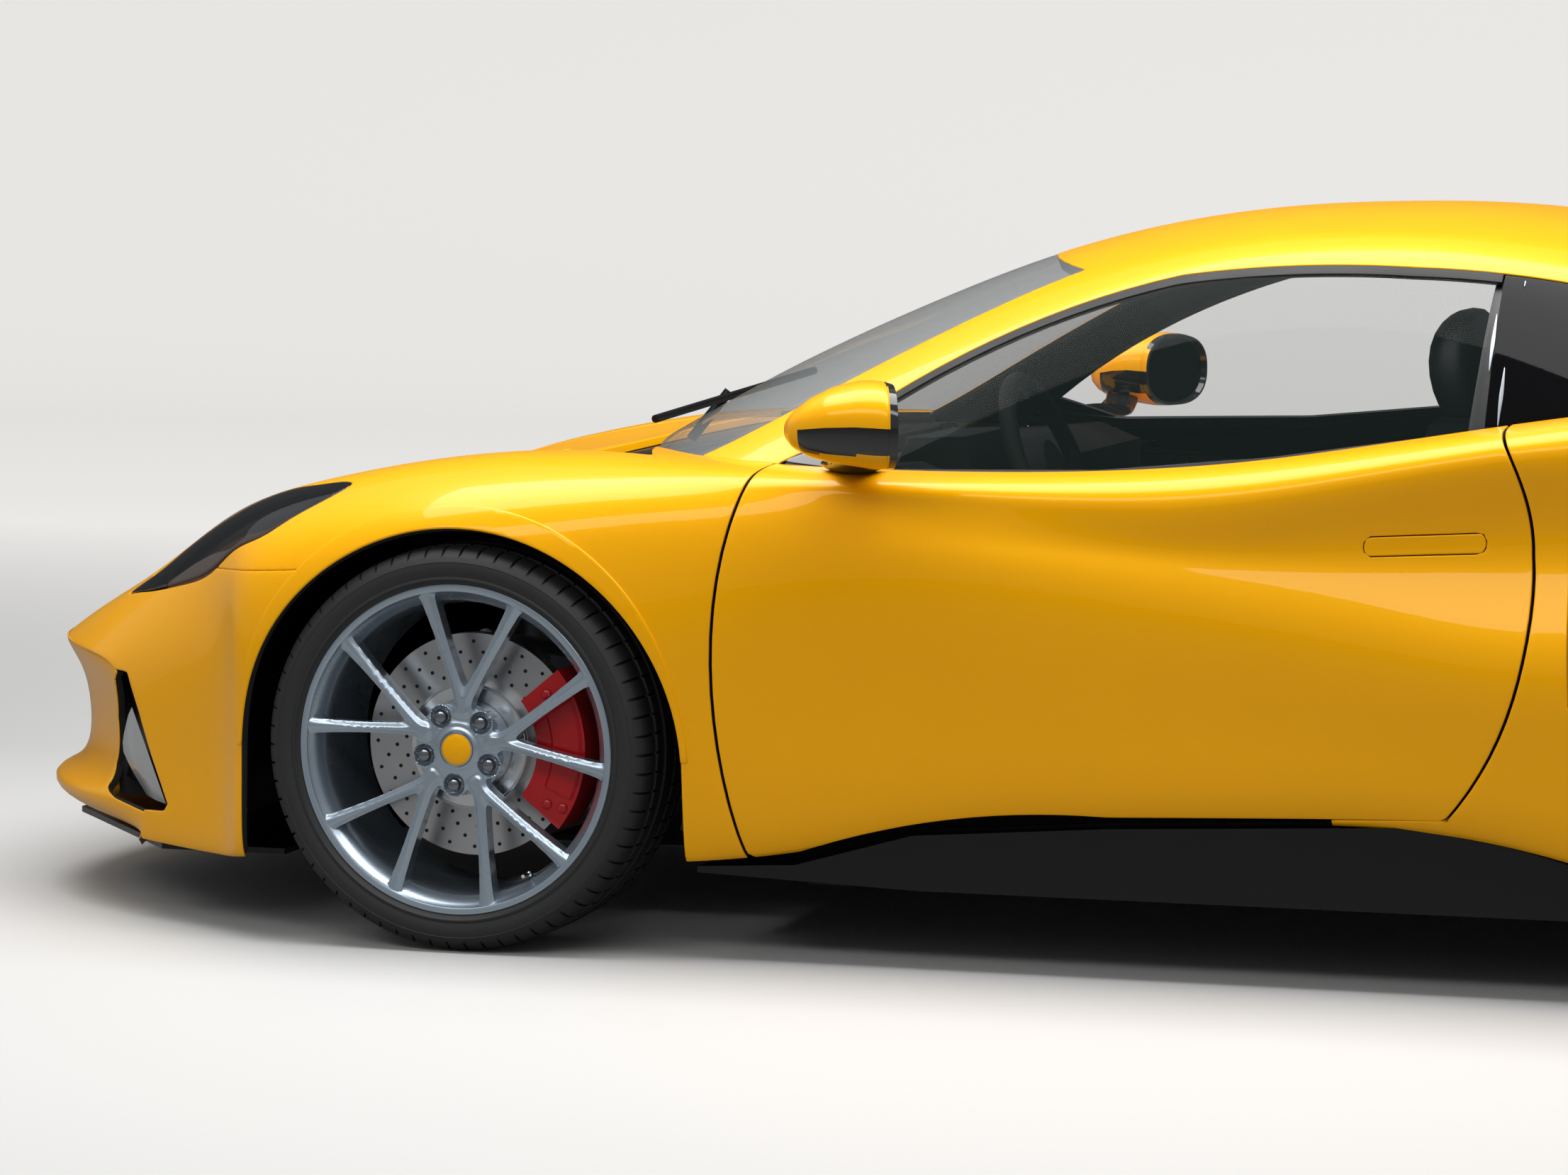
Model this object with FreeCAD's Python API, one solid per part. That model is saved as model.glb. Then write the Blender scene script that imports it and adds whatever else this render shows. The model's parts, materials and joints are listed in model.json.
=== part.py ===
"""Two-seat mid-engined coupe, as an assembly of separate body panels, glass, running gear and cabin.

Millimetres. X runs rearward, Y to the car's right-hand side, Z up. The origin is on the ground at
mid length and mid width. Left-hand pieces are built at negative Y and mirrored.
"""
import FreeCAD, Part
import math
import os

V = FreeCAD.Vector

# Overall sizes
LENGTH = 4412.0
NOSE_X = -LENGTH / 2
TAIL_X = LENGTH / 2
FRONT_OVERHANG = 1050.0
WHEELBASE = 2575.0
FRONT_AXLE_X = NOSE_X + FRONT_OVERHANG
REAR_AXLE_X = FRONT_AXLE_X + WHEELBASE
SHUT_GAP = 6.0
SEAT_GAP = 0.3
SKIN = 14.0
ROOF_WALL = 26.0
GLASS = 6.0

# Wheels: outer radius, width, centre height, track half, rim radius, rim width
FRONT_TYRE_R, FRONT_TYRE_W, FRONT_TRACK_HALF = 336.0, 245.0, 803.0
REAR_TYRE_R, REAR_TYRE_W, REAR_TRACK_HALF = 339.0, 295.0, 792.0
RIM_R = 273.0
RIM_BEAD_R = 255.0
FRONT_DISC_R, REAR_DISC_R, DISC_T = 185.0, 175.0, 28.0
HUB_BORE_R = 34.0
BOLT_CIRCLE_R, BOLT_R = 57.15, 9.0
KINGPIN_Y = 770.0

# Wheel arches, as circles in side view
ARCH_R_FRONT, ARCH_R_REAR = 390.0, 396.0
ARCH_Z = 312.0
LINER_CLEAR = 2.0
LINER_T = 5.0

# Doors
DOOR_INNER_Y = 780.3
DOOR_HINGE_X, DOOR_HINGE_Y = -652.0, 893.0


def nose_x(y):
    """Plan curve of the nose, back from the tip."""
    return NOSE_X + 650.0 * (abs(y) / 900.0) ** 2.5


def tail_x(y):
    """Plan curve of the tail."""
    return TAIL_X - 250.0 * (abs(y) / 800.0) ** 2.6


# Body sections from nose to tail. Columns: centre x, share of the nose or tail plan curve, and then
# (y, z) of the centre line, two deck points, crest, shoulder, channel, ridge, low side, sill and sill lip.
BODY = (
    (-2182, 1.00, (0, 446), (200, 446), (400, 446), (560, 443), (650, 430), (696, 370), (714, 290), (724, 215), (728, 160), (716, 138)),
    (-2085, 0.85, (0, 506), (230, 508), (450, 515), (610, 522), (712, 492), (770, 420), (792, 320), (800, 220), (796, 150), (782, 134)),
    (-1900, 0.55, (0, 583), (250, 589), (480, 608), (640, 634), (760, 596), (830, 510), (852, 400), (856, 270), (850, 160), (838, 134)),
    (-1680, 0.20, (0, 660), (250, 666), (490, 694), (672, 718), (806, 668), (874, 590), (896, 460), (896, 300), (886, 170), (874, 138)),
    (-1450, 0.0, (0, 724), (260, 730), (500, 750), (690, 765), (828, 715), (900, 640), (924, 520), (922, 350), (902, 190), (890, 145)),
    (-1250, 0.0, (0, 768), (260, 772), (500, 786), (700, 803), (840, 757), (914, 688), (938, 560), (934, 380), (911, 200), (899, 150)),
    (-1050, 0.0, (0, 800), (260, 802), (500, 808), (712, 816), (846, 776), (916, 705), (938, 570), (930, 390), (909, 200), (897, 150)),
    (-850, 0.0, (0, 812), (260, 812), (500, 812), (752, 812), (858, 776), (904, 712), (922, 570), (916, 390), (897, 205), (885, 160)),
    (-600, 0.0, (0, 804), (260, 804), (500, 804), (820, 804), (878, 768), (900, 706), (912, 600), (900, 400), (893, 215), (873, 180)),
    (-300, 0.0, (0, 804), (260, 804), (500, 804), (836, 804), (880, 758), (894, 700), (908, 626), (892, 405), (886, 270), (864, 240)),
    (50, 0.0, (0, 820), (260, 820), (500, 820), (842, 820), (888, 740), (882, 682), (908, 602), (888, 405), (884, 286), (861, 254)),
    (350, 0.0, (0, 858), (260, 858), (500, 858), (846, 860), (893, 786), (872, 690), (916, 578), (896, 400), (890, 298), (866, 266)),
    (620, 0.0, (0, 896), (260, 896), (500, 896), (842, 902), (902, 836), (866, 704), (934, 556), (916, 395), (906, 272), (884, 240)),
    (900, 0.0, (0, 905), (260, 905), (500, 908), (828, 940), (916, 858), (898, 728), (944, 574), (938, 395), (921, 205), (901, 170)),
    (1200, 0.0, (0, 905), (260, 905), (500, 912), (812, 956), (918, 868), (938, 752), (947, 612), (942, 408), (921, 185), (905, 152)),
    (1500, 0.0, (0, 900), (260, 900), (500, 908), (786, 958), (902, 878), (934, 764), (945, 622), (940, 415), (919, 190), (904, 155)),
    (1800, 0.0, (0, 902), (260, 902), (500, 908), (742, 942), (856, 876), (900, 772), (918, 640), (915, 440), (895, 250), (879, 215)),
    (2010, 0.6, (0, 920), (260, 920), (480, 920), (680, 926), (786, 876), (842, 780), (864, 650), (865, 470), (849, 310), (835, 280)),
    (2195, 1.0, (0, 936), (240, 935), (440, 930), (590, 914), (678, 872), (734, 790), (756, 660), (757, 500), (747, 360), (735, 335)),
)

# Glasshouse sections. Columns: centre x, bow at y = 700, and then (y, z) of the centre line, roof,
# rail, window top, window foot and buried base.
GLASSHOUSE = (
    (-1060, 168, (0, 806), (300, 803), (560, 792), (715, 776), (790, 745), (825, 700)),
    (-900, 155, (0, 898), (290, 890), (555, 862), (705, 816), (786, 760), (835, 690)),
    (-736, 150, (0, 981), (280, 972), (540, 938), (690, 874), (778, 790), (845, 690)),
    (-521, 150, (0, 1074), (270, 1064), (515, 1026), (665, 962), (768, 842), (850, 690)),
    (-340, 145, (0, 1141), (265, 1131), (495, 1094), (648, 1032), (760, 885), (852, 690)),
    (-150, 120, (0, 1190), (260, 1180), (482, 1146), (634, 1090), (752, 915), (852, 700)),
    (50, 70, (0, 1218), (260, 1209), (474, 1178), (626, 1124), (748, 938), (850, 720)),
    (250, 30, (0, 1226), (260, 1217), (472, 1188), (622, 1136), (744, 950), (848, 740)),
    (450, 0, (0, 1222), (260, 1213), (470, 1184), (618, 1134), (742, 958), (844, 760)),
    (700, 0, (0, 1190), (255, 1182), (460, 1154), (604, 1104), (736, 960), (832, 800)),
    (1000, 0, (0, 1128), (250, 1120), (440, 1096), (582, 1050), (708, 958), (800, 850)),
    (1300, 0, (0, 1054), (240, 1048), (425, 1028), (556, 994), (670, 944), (760, 870)),
    (1600, 0, (0, 984), (240, 981), (425, 968), (550, 948), (654, 920), (732, 870)),
    (1850, 0, (0, 938), (240, 937), (430, 929), (556, 912), (656, 886), (730, 830)),
    (2020, 0, (0, 870), (240, 870), (430, 864), (556, 850), (656, 830), (730, 790)),
)

# Front and rear fascias as profiles: set back from the plan curve, height.
NOSE_PROFILE = ((24, 447), (26, 436), (50, 400), (66, 345), (68, 272), (46, 228), (6, 206), (0, 192), (16, 170), (90, 146), (240, 136))
TAIL_PROFILE = ((11, 936), (16, 918), (60, 890), (84, 800), (70, 690), (34, 600), (12, 520), (16, 430), (50, 350), (140, 330))


def full_width(rows, place):
    """A net of poles from the left edge over the centre line to the right edge."""
    net = []
    for x, bow, *points in rows:
        right = [V(place(x, bow, y), y, z) for y, z in points]
        left = [V(p.x, -p.y, p.z) for p in reversed(right[1:])]
        net.append(left + right)
    return net


def body_place(x, share, y):
    if x < 0:
        return x + share * (nose_x(y) - NOSE_X)
    return x + share * (tail_x(y) - TAIL_X)


def glass_place(x, bow, y):
    return x + bow * (y / 700.0) ** 2


def height_at(points, y):
    """Height of a section's upper part at a given half width."""
    for (y0, z0), (y1, z1) in zip(points, points[1:]):
        if y0 <= y <= y1:
            return z0 + (z1 - z0) * (y - y0) / (y1 - y0)
    return points[-1][1]


def fascia_net(profile, end_row, curve, sign, half, fade_from, drop=0.0):
    """A net for the nose or tail; the profile's relief fades out towards the corners."""
    net = []
    ys = [half * k / 8.0 for k in range(-8, 9)]
    top, base = profile[0][1], profile[-1][1]
    for back, z in profile:
        row = []
        for y in ys:
            fade = max(0.0, (abs(y) - fade_from) / (half - fade_from))
            depth = back + (profile[0][0] - back) * fade * fade
            edge = height_at(end_row[2:], abs(y)) - drop
            row.append(V(curve(y) + sign * depth, y, base + (z - base) * (edge - base) / (top - base)))
        net.append(row)
    return net


def through(net):
    """Poles that bring the smooth surface close to the points of a net."""
    def sharpened(line):
        inner = [line[i] + (line[i] * 2 - line[i - 1] - line[i + 1]) / 6 for i in range(1, len(line) - 1)]
        return [line[0]] + inner + [line[-1]]

    rows = [sharpened(row) for row in net]
    columns = [sharpened(list(column)) for column in zip(*rows)]
    return [list(row) for row in zip(*columns)]


def spline_face(net):
    """A smooth surface over a net of poles, third degree both ways."""
    rows, columns = len(net), len(net[0])
    surface = Part.BSplineSurface()

    def ends(count, degree):
        inner = count - degree - 1
        return [degree + 1] + [1] * inner + [degree + 1], [float(k) for k in range(inner + 2)]

    u_degree = min(3, rows - 1)
    v_degree = min(3, columns - 1)
    u_mults, u_knots = ends(rows, u_degree)
    v_mults, v_knots = ends(columns, v_degree)
    surface.buildFromPolesMultsKnots(net, u_mults, v_mults, u_knots, v_knots, False, False, u_degree, v_degree)
    return surface.toShape()


def offset_net(net, distance):
    """The net moved along its own normals; positive is outward for a net that runs rearward and left to right."""
    rows, columns = len(net), len(net[0])
    moved = []
    for i in range(rows):
        row = []
        for j in range(columns):
            along = net[min(i + 1, rows - 1)][j] - net[max(i - 1, 0)][j]
            across = net[i][min(j + 1, columns - 1)] - net[i][max(j - 1, 0)]
            normal = along.cross(across)
            normal.normalize()
            row.append(net[i][j] + normal * distance)
        moved.append(row)
    return moved


def closed_between(top, under):
    """A closed solid between two nets."""
    faces = [spline_face(top), spline_face(under)]
    edges = (
        (top[0], under[0]),
        (top[-1], under[-1]),
        ([r[0] for r in top], [r[0] for r in under]),
        ([r[-1] for r in top], [r[-1] for r in under]),
    )
    for a, b in edges:
        faces.append(spline_face([list(a), list(b)]))
    shell = Part.makeShell(faces)
    shell.sewShape()
    solid = Part.makeSolid(shell)
    if solid.Volume < 0:
        solid.reverse()
    return solid


def thick_skin(net, outer, inner):
    """A shell between two depths under a net; depths are negative inward."""
    return closed_between(through(offset_net(net, outer)), through(offset_net(net, inner)))


def filled(net, y_share, z_share, z_base):
    """Nearly the whole volume under a net, but for a slim tunnel at its middle."""
    core = [[V(p.x, p.y * y_share, z_base + (p.z - z_base) * z_share) for p in row] for row in net]
    return closed_between(through(net), through(core))


def wire_of(points):
    """A closed wire from corner points; an item of three numbers pairs is an arc's middle point."""
    edges = []
    count = len(points)
    i = 0
    while i < count:
        start = points[i]
        following = points[(i + 1) % count]
        if len(following) == 3:
            end = points[(i + 2) % count]
            edges.append(Part.Arc(V(*start[:2], 0), V(*following[:2], 0), V(*end[:2], 0)).toShape())
            i += 2
        else:
            edges.append(Part.makeLine(V(*start[:2], 0), V(*following[:2], 0)))
            i += 1
    return Part.Wire(edges)


def side_prism(points, y0, y1):
    """A prism whose outline is drawn in side view (x, z)."""
    wire = wire_of(points)
    wire.rotate(V(0, 0, 0), V(1, 0, 0), 90)
    face = Part.Face(wire)
    face.translate(V(0, y0, 0))
    return face.extrude(V(0, y1 - y0, 0))


def top_prism(points, z0, z1):
    """A prism whose outline is drawn in plan (x, y)."""
    face = Part.Face(wire_of(points))
    face.translate(V(0, 0, z0))
    return face.extrude(V(0, 0, z1 - z0))


def front_prism(points, x0, x1):
    """A prism whose outline is drawn across the car (y, z)."""
    wire = wire_of(points)
    wire.rotate(V(0, 0, 0), V(1, 1, 1), 120)
    face = Part.Face(wire)
    face.translate(V(x0, 0, 0))
    return face.extrude(V(x1 - x0, 0, 0))


def box(x0, x1, y0, y1, z0, z1):
    return Part.makeBox(x1 - x0, y1 - y0, z1 - z0, V(x0, y0, z0))


def rod(x, y, z, radius, length, axis):
    return Part.makeCylinder(radius, length, V(x, y, z), axis)


def between(a, b, radius):
    return Part.makeCylinder(radius, (b - a).Length, a, b - a)


def mirrored(shape):
    return shape.mirror(V(0, 0, 0), V(0, 1, 0))


def both(shape):
    return Part.makeCompound([shape, mirrored(shape)])


def fused(shapes):
    first = shapes[0]
    return first.multiFuse(shapes[1:]).removeSplitter() if len(shapes) > 1 else first


def keep(shape, least=200.0):
    """Only the real solids of a boolean result."""
    found = [s for s in shape.Solids if s.Volume > least]
    return found[0] if len(found) == 1 else Part.makeCompound(found)


PANEL_LEAST = 50000.0
NODES = {}


def node(name, shape):
    NODES[name] = keep(shape)


# Side-view curves (x, z)
BELT = ((-655, 806), (-453, 802), (-99, 809), (172, 834), (381, 864), (559, 889), (700, 908))
DOOR_FRONT = ((-661, 806), (-717, 500, "via"), (-664, 173))
DOOR_REAR = ((485, 282), (600, 500, "via"), (615, 700), (600, 800, "via"), (559, 892))
DOOR_SILL = ((-583, 177), (-386, 233, "via"), (-64, 257))
WINDOW_TOP = ((-600, 832), (-330, 1004, "via"), (-11, 1116), (180, 1133, "via"), (372, 1132), (640, 1106, "via"), (900, 1040))
DOOR_LINE_SPLIT = 512.0
QUARTER_TIP = (1010, 962)

# Plan-view curves (x, y)
SCREEN_BASE_X, SCREEN_BASE_Y, SCREEN_BASE_MID = -880.0, 700.0, -1015.0
SCREEN_HEAD_X, SCREEN_HEAD_Y, SCREEN_HEAD_MID = -205.0, 480.0, -351.0
BONNET_FRONT_X, BONNET_FRONT_Y, BONNET_FRONT_MID = -1800.0, 570.0, -1975.0
BONNET_REAR_X, BONNET_REAR_Y, BONNET_REAR_MID = -1062.0, 590.0, -1150.0
BONNET_HINGE_X, BONNET_HINGE_Z = -1062.0, 816.0
TAILGATE_FRONT_X, TAILGATE_REAR_X, TAILGATE_FRONT_Y, TAILGATE_REAR_Y = 620.0, 1790.0, 410.0, 470.0
TAILGATE_HINGE_X, TAILGATE_HINGE_Z = 613.0, 1203.0

# Side intake behind the door, in side view (x, z)
SIDE_INTAKE = ((676, 470), (668, 700), (720, 735), (830, 640), (790, 500))

# Headlamp outline in plan (x, y), left-hand side
HEADLAMP = ((-1800, -576), (-1640, -756), (-1560, -768), (-1425, -690), (-1500, -640))


def grown(outline, by):
    """A plan or side outline pushed out from its centre by a margin."""
    cx = sum(p[0] for p in outline) / len(outline)
    cy = sum(p[1] for p in outline) / len(outline)
    moved = []
    for p in outline:
        r = math.hypot(p[0] - cx, p[1] - cy)
        moved.append((p[0] + (p[0] - cx) / r * by, p[1] + (p[1] - cy) / r * by) + tuple(p[2:]))
    return moved


def door_outline(gap):
    """The door's skin in side view, drawn in by a gap on every side but the belt."""
    front = [(x + gap, z) + tuple(r) for x, z, *r in DOOR_FRONT]
    rear = [(x - gap, z) + tuple(r) for x, z, *r in DOOR_REAR]
    sill = [(x, z + gap) + tuple(r) for x, z, *r in DOOR_SILL]
    return front + sill + rear + [(556 - gap, 990), (-661 + gap, 990)]


def window_outline(margin):
    """The side glass area from the sail panel to the rear tip."""
    top = [(x, z + margin) + tuple(r) for x, z, *r in WINDOW_TOP]
    start = (-655 - margin * 2, 806 - margin)
    tip = (QUARTER_TIP[0] + margin * 2, QUARTER_TIP[1] + margin)
    under = [(x, z - margin - 12) for x, z in reversed(BELT)]
    return [start] + top + [tip] + under[:-1]


def plan_trapezium(x0, y0, mid0, x1, y1, mid1, gap):
    """A plan outline symmetric about the centre line, with bowed ends."""
    s = math.copysign(1.0, x1 - x0)
    return [
        (x0 + s * gap, -y0 + gap), (mid0 + s * gap, 0, "via"), (x0 + s * gap, y0 - gap),
        (x1 - s * gap, y1 - gap), (mid1 - s * gap, 0, "via"), (x1 - s * gap, -y1 + gap),
    ]


def arch_cutter(axle_x, radius, y_in):
    tunnel = Part.makeCylinder(radius, 1100 - y_in, V(axle_x, -1100, ARCH_Z), V(0, 1, 0))
    below = box(axle_x - radius, axle_x + radius, -1100, -y_in, -50, ARCH_Z)
    return both(tunnel.fuse(below))


BODY_NET = full_width(BODY, body_place)
GLASS_NET = full_width(GLASSHOUSE, glass_place)
NOSE_NET = fascia_net(NOSE_PROFILE, BODY[0], nose_x, 1, 712, 520)
TAIL_NET = fascia_net(TAIL_PROFILE, BODY[-1], tail_x, -1, 726, 560, SKIN + 3)

body_skin = thick_skin(BODY_NET, 0, -SKIN)
body_fill = filled(BODY_NET, 0.12, 0.3, 150)
cavity = filled(offset_net(BODY_NET, -SKIN - 0.5), 0.12, 0.3, 150)
glass_skin = thick_skin(GLASS_NET, 0, -ROOF_WALL)
glass_fill = filled(GLASS_NET, 0.12, 0.1, 660)
nose_skin = thick_skin(NOSE_NET, 0, SKIN)
tail_skin = thick_skin(TAIL_NET, 0, -SKIN)

arches = fused([arch_cutter(FRONT_AXLE_X, ARCH_R_FRONT, 480), arch_cutter(REAR_AXLE_X, ARCH_R_REAR, 560)])
lower = keep(body_skin.cut(glass_fill).cut(arches), PANEL_LEAST)
upper = keep(glass_skin.cut(body_fill), PANEL_LEAST)

# Doors
door_hole = both(side_prism(door_outline(0), -1000, -700))
door_blank = side_prism(door_outline(SHUT_GAP), -1000, -DOOR_INNER_Y)
door_core = side_prism(
    [(-640, 760), (-675, 500, "via"), (-630, 215), (-386, 262, "via"), (-64, 290), (460, 312), (560, 640, "via"), (520, 840), (172, 800), (-99, 776)],
    -1000, -DOOR_INNER_Y)
door = body_skin.cut(glass_fill).common(door_blank).fuse(body_fill.cut(glass_fill).common(door_core))
lower = lower.cut(door_hole)

# Bonnet, headlamps, bumper and wings
bonnet_hole = top_prism(plan_trapezium(BONNET_FRONT_X, BONNET_FRONT_Y, BONNET_FRONT_MID, BONNET_REAR_X, BONNET_REAR_Y, BONNET_REAR_MID, 0), 560, 1000)
bonnet_blank = top_prism(plan_trapezium(BONNET_FRONT_X, BONNET_FRONT_Y, BONNET_FRONT_MID, BONNET_REAR_X, BONNET_REAR_Y, BONNET_REAR_MID, SHUT_GAP), 560, 1000)
bonnet_hole = bonnet_hole.common(box(-2100, -900, -700, 700, 500, 1000))
bonnet = lower.common(bonnet_blank)
lower = lower.cut(bonnet_hole)
lamp_hole = both(top_prism(list(HEADLAMP), 480, 1000))
lamp_blank = both(top_prism(grown(HEADLAMP, -SEAT_GAP), 480, 1000))
lamps = thick_skin(BODY_NET, -1, -40).common(lamp_blank)
lower = lower.cut(lamp_hole)
bumper_zone = side_prism([(-2400, 0), (-1400, 0), (-1400, 628), (-1642, 613), (-1850, 560), (-1850, 900), (-2400, 900)], -1000, 1000)
bumper_blank = side_prism([(-2400, 0), (-1400, 0), (-1400, 624), (-1642, 609), (-1855, 555), (-1855, 900), (-2400, 900)], -1000, 1000)
mouth = front_prism([(-330, 236), (330, 236), (300, 334), (-300, 334)], -2400, -1950)
side_mouths = both(front_prism([(-696, 196), (-560, 236), (-590, 400), (-640, 408)], -2400, -1650))
front_bumper = lower.common(bumper_blank).fuse(nose_skin.cut(body_skin)).cut(mouth).cut(side_mouths)
lower = lower.cut(bumper_zone)

# Cowl strip behind the bonnet
cowl_zone = top_prism(plan_trapezium(BONNET_REAR_X + 3, 650, BONNET_REAR_MID + 5, SCREEN_BASE_X, 708, SCREEN_BASE_MID, 0), 600, 1000)
lower = lower.cut(cowl_zone)
wings = lower.common(box(-2300, -640, -1000, 1000, 0, 1000)).cut(door_hole)
cowl_net = [[p - V(0, 0, SKIN + SEAT_GAP + 0.2) for p in row] for row in BODY_NET]
cowl = thick_skin(cowl_net, 0, -8).common(box(-1140, -740, -640, 640, 600, 900)).cut(bonnet_hole).cut(thick_skin(GLASS_NET, 4, -60)).cut(body_skin)

# Rear quarters with the rear bumper
quarters = lower.common(box(300, 2300, -1000, 1000, 0, 1000))
rear_bumper = tail_skin.cut(quarters)
intake_hole = both(side_prism(list(SIDE_INTAKE), -1000, -850))
vent_hole = front_prism([(-560, 396), (560, 396), (590, 514), (-590, 514)], 2050, 2300)
lamp_slot = both(front_prism([(-728, 742), (-432, 770), (-432, 800), (-728, 800)], 1800, 2300))
quarters = quarters.cut(intake_hole)
rear_bumper = rear_bumper.cut(vent_hole).cut(lamp_slot)

# Glasshouse
screen_hole = top_prism(plan_trapezium(SCREEN_BASE_X, SCREEN_BASE_Y, SCREEN_BASE_MID, SCREEN_HEAD_X, SCREEN_HEAD_Y, SCREEN_HEAD_MID, 0), 780, 1300)
screen_blank = top_prism(plan_trapezium(SCREEN_BASE_X, SCREEN_BASE_Y, SCREEN_BASE_MID, SCREEN_HEAD_X, SCREEN_HEAD_Y, SCREEN_HEAD_MID, SEAT_GAP), 780, 1300)
window_hole = both(side_prism(window_outline(0), -1000, -400))
tailgate_hole = top_prism(plan_trapezium(TAILGATE_FRONT_X, TAILGATE_FRONT_Y, TAILGATE_FRONT_X + 1, TAILGATE_REAR_X, TAILGATE_REAR_Y, TAILGATE_REAR_X + 10, 0), 880, 1300)
tailgate_blank = top_prism(plan_trapezium(TAILGATE_FRONT_X, TAILGATE_FRONT_Y, TAILGATE_FRONT_X + 1, TAILGATE_REAR_X, TAILGATE_REAR_Y, TAILGATE_REAR_X + 10, SHUT_GAP), 880, 1300)
rear_window_hole = top_prism(plan_trapezium(700, 350, 690, 1300, 380, 1310, 0), 880, 1300)
rear_window_blank = top_prism(plan_trapezium(700, 350, 690, 1300, 380, 1310, SEAT_GAP), 880, 1300)
roof_frame = upper.cut(screen_hole).cut(window_hole).cut(tailgate_hole).cut(box(-1200, -905, -1000, 1000, 0, 1300))
windscreen = thick_skin(GLASS_NET, -1, -7).common(screen_blank).cut(body_fill)
door_glass_blank = side_prism(window_outline(-8), -1000, -400).common(box(-626, DOOR_LINE_SPLIT - 8, -1000, -400, 0, 1400))
door_glass = thick_skin(GLASS_NET, -0.4, -6.4).common(door_glass_blank)
quarter_blank = side_prism(window_outline(-2), -1000, -400).common(box(DOOR_LINE_SPLIT + 4, 1200, -1000, -400, 0, 1400))
quarter_glass = thick_skin(GLASS_NET, -2, -14).common(quarter_blank).cut(body_fill)
tailgate = upper.common(tailgate_blank).cut(rear_window_hole)
rear_window = thick_skin(GLASS_NET, -1, -7).common(rear_window_blank)


# Wheels. Each table row: name, axle x, side (-1 left), track half, tyre radius, tyre width, disc radius
WHEELS = (
    ("front_left", FRONT_AXLE_X, -1, FRONT_TRACK_HALF, FRONT_TYRE_R, FRONT_TYRE_W, FRONT_DISC_R),
    ("front_right", FRONT_AXLE_X, 1, FRONT_TRACK_HALF, FRONT_TYRE_R, FRONT_TYRE_W, FRONT_DISC_R),
    ("rear_left", REAR_AXLE_X, -1, REAR_TRACK_HALF, REAR_TYRE_R, REAR_TYRE_W, REAR_DISC_R),
    ("rear_right", REAR_AXLE_X, 1, REAR_TRACK_HALF, REAR_TYRE_R, REAR_TYRE_W, REAR_DISC_R),
)
SPOKE_PAIRS = 5
SPOKE_LEAN = 6.5
SPOKE_TIP_HALF = 18.0
SPOKE_W, SPOKE_D = 20.0, 34.0


def turned(points):
    """A solid of revolution about the wheel's own axle (Y), from (radius, y) corners."""
    wire = Part.makePolygon([V(r, y, 0) for r, y in points] + [V(points[0][0], points[0][1], 0)])
    return Part.Face(wire).revolve(V(0, 0, 0), V(0, 1, 0), 360)


def tyre_at(radius, width):
    h = width / 2
    return turned([
        (RIM_BEAD_R, -h + 23.5), (RIM_R + 1.5, -h + 9), (RIM_R + 16, -h + 1), (radius - 30, -h), (radius - 10, -h + 12),
        (radius, -h + 34), (radius, h - 34), (radius - 10, h - 12), (radius - 30, h), (RIM_R + 16, h - 1),
        (RIM_R + 1.5, h - 9), (RIM_BEAD_R, h - 23.5),
    ])


def rim_at(width):
    """A left-hand rim, its face towards negative Y."""
    h = width / 2
    face = -h + 8
    barrel = turned([
        (RIM_R, face), (RIM_BEAD_R - 1, face + 14), (RIM_BEAD_R - 1, h - 22), (RIM_R, h - 8),
        (RIM_R - 12, h - 8), (238, h - 30), (238, face + 60), (248, face + 22), (262, face),
    ])
    pieces = [barrel, rod(0, face + 22, 0, 78, 44, V(0, 1, 0))]
    for k in range(SPOKE_PAIRS):
        for sign in (-1, 1):
            mid = 360.0 / SPOKE_PAIRS * k + SPOKE_LEAN
            tip = math.radians(mid + sign * SPOKE_TIP_HALF)
            root = math.radians(mid + sign * 5)
            a = V(60 * math.sin(root), 0, 60 * math.cos(root))
            b = V(246 * math.sin(tip), 0, 246 * math.cos(tip))
            along = b - a
            spoke = box(0, along.Length, face + 10, face + 10 + SPOKE_D, -SPOKE_W / 2, SPOKE_W / 2)
            spoke.rotate(V(0, 0, 0), V(0, 1, 0), math.degrees(math.atan2(-along.z, along.x)))
            spoke.translate(a)
            pieces.append(spoke)
    rim = fused(pieces)
    holes = [rod(0, face - 50, 0, HUB_BORE_R, 200, V(0, 1, 0))]
    for k in range(5):
        angle = math.radians(72 * k + SPOKE_LEAN + 36)
        holes.append(rod(BOLT_CIRCLE_R * math.sin(angle), face - 50, BOLT_CIRCLE_R * math.cos(angle), BOLT_R, 200, V(0, 1, 0)))
    for hole in holes:
        rim = rim.cut(hole)
    return rim


def disc_at(radius, face):
    """A brake disc with its hat; the hat meets the back of the rim's hub."""
    y = face + 66.5
    disc = rod(0, y + 26, 0, radius, DISC_T, V(0, 1, 0)).cut(rod(0, y, 0, 100, 100, V(0, 1, 0)))
    hat = rod(0, y, 0, 104, 26 + DISC_T, V(0, 1, 0)).cut(rod(0, y + 6, 0, 92, 100, V(0, 1, 0)))
    hat = hat.cut(rod(0, y - 10, 0, HUB_BORE_R, 50, V(0, 1, 0)))
    return fused([disc, hat])


for name, axle_x, side, track, radius, width, disc_r in WHEELS:
    face = -width / 2 + 8
    pieces = {"tyre": tyre_at(radius, width), "rim": rim_at(width), "disc": disc_at(disc_r, face)}
    for kind, shape in pieces.items():
        if side > 0:
            shape = mirrored(shape)
        shape.translate(V(axle_x, side * track, radius))
        node(kind + "_" + name, shape)

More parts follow.
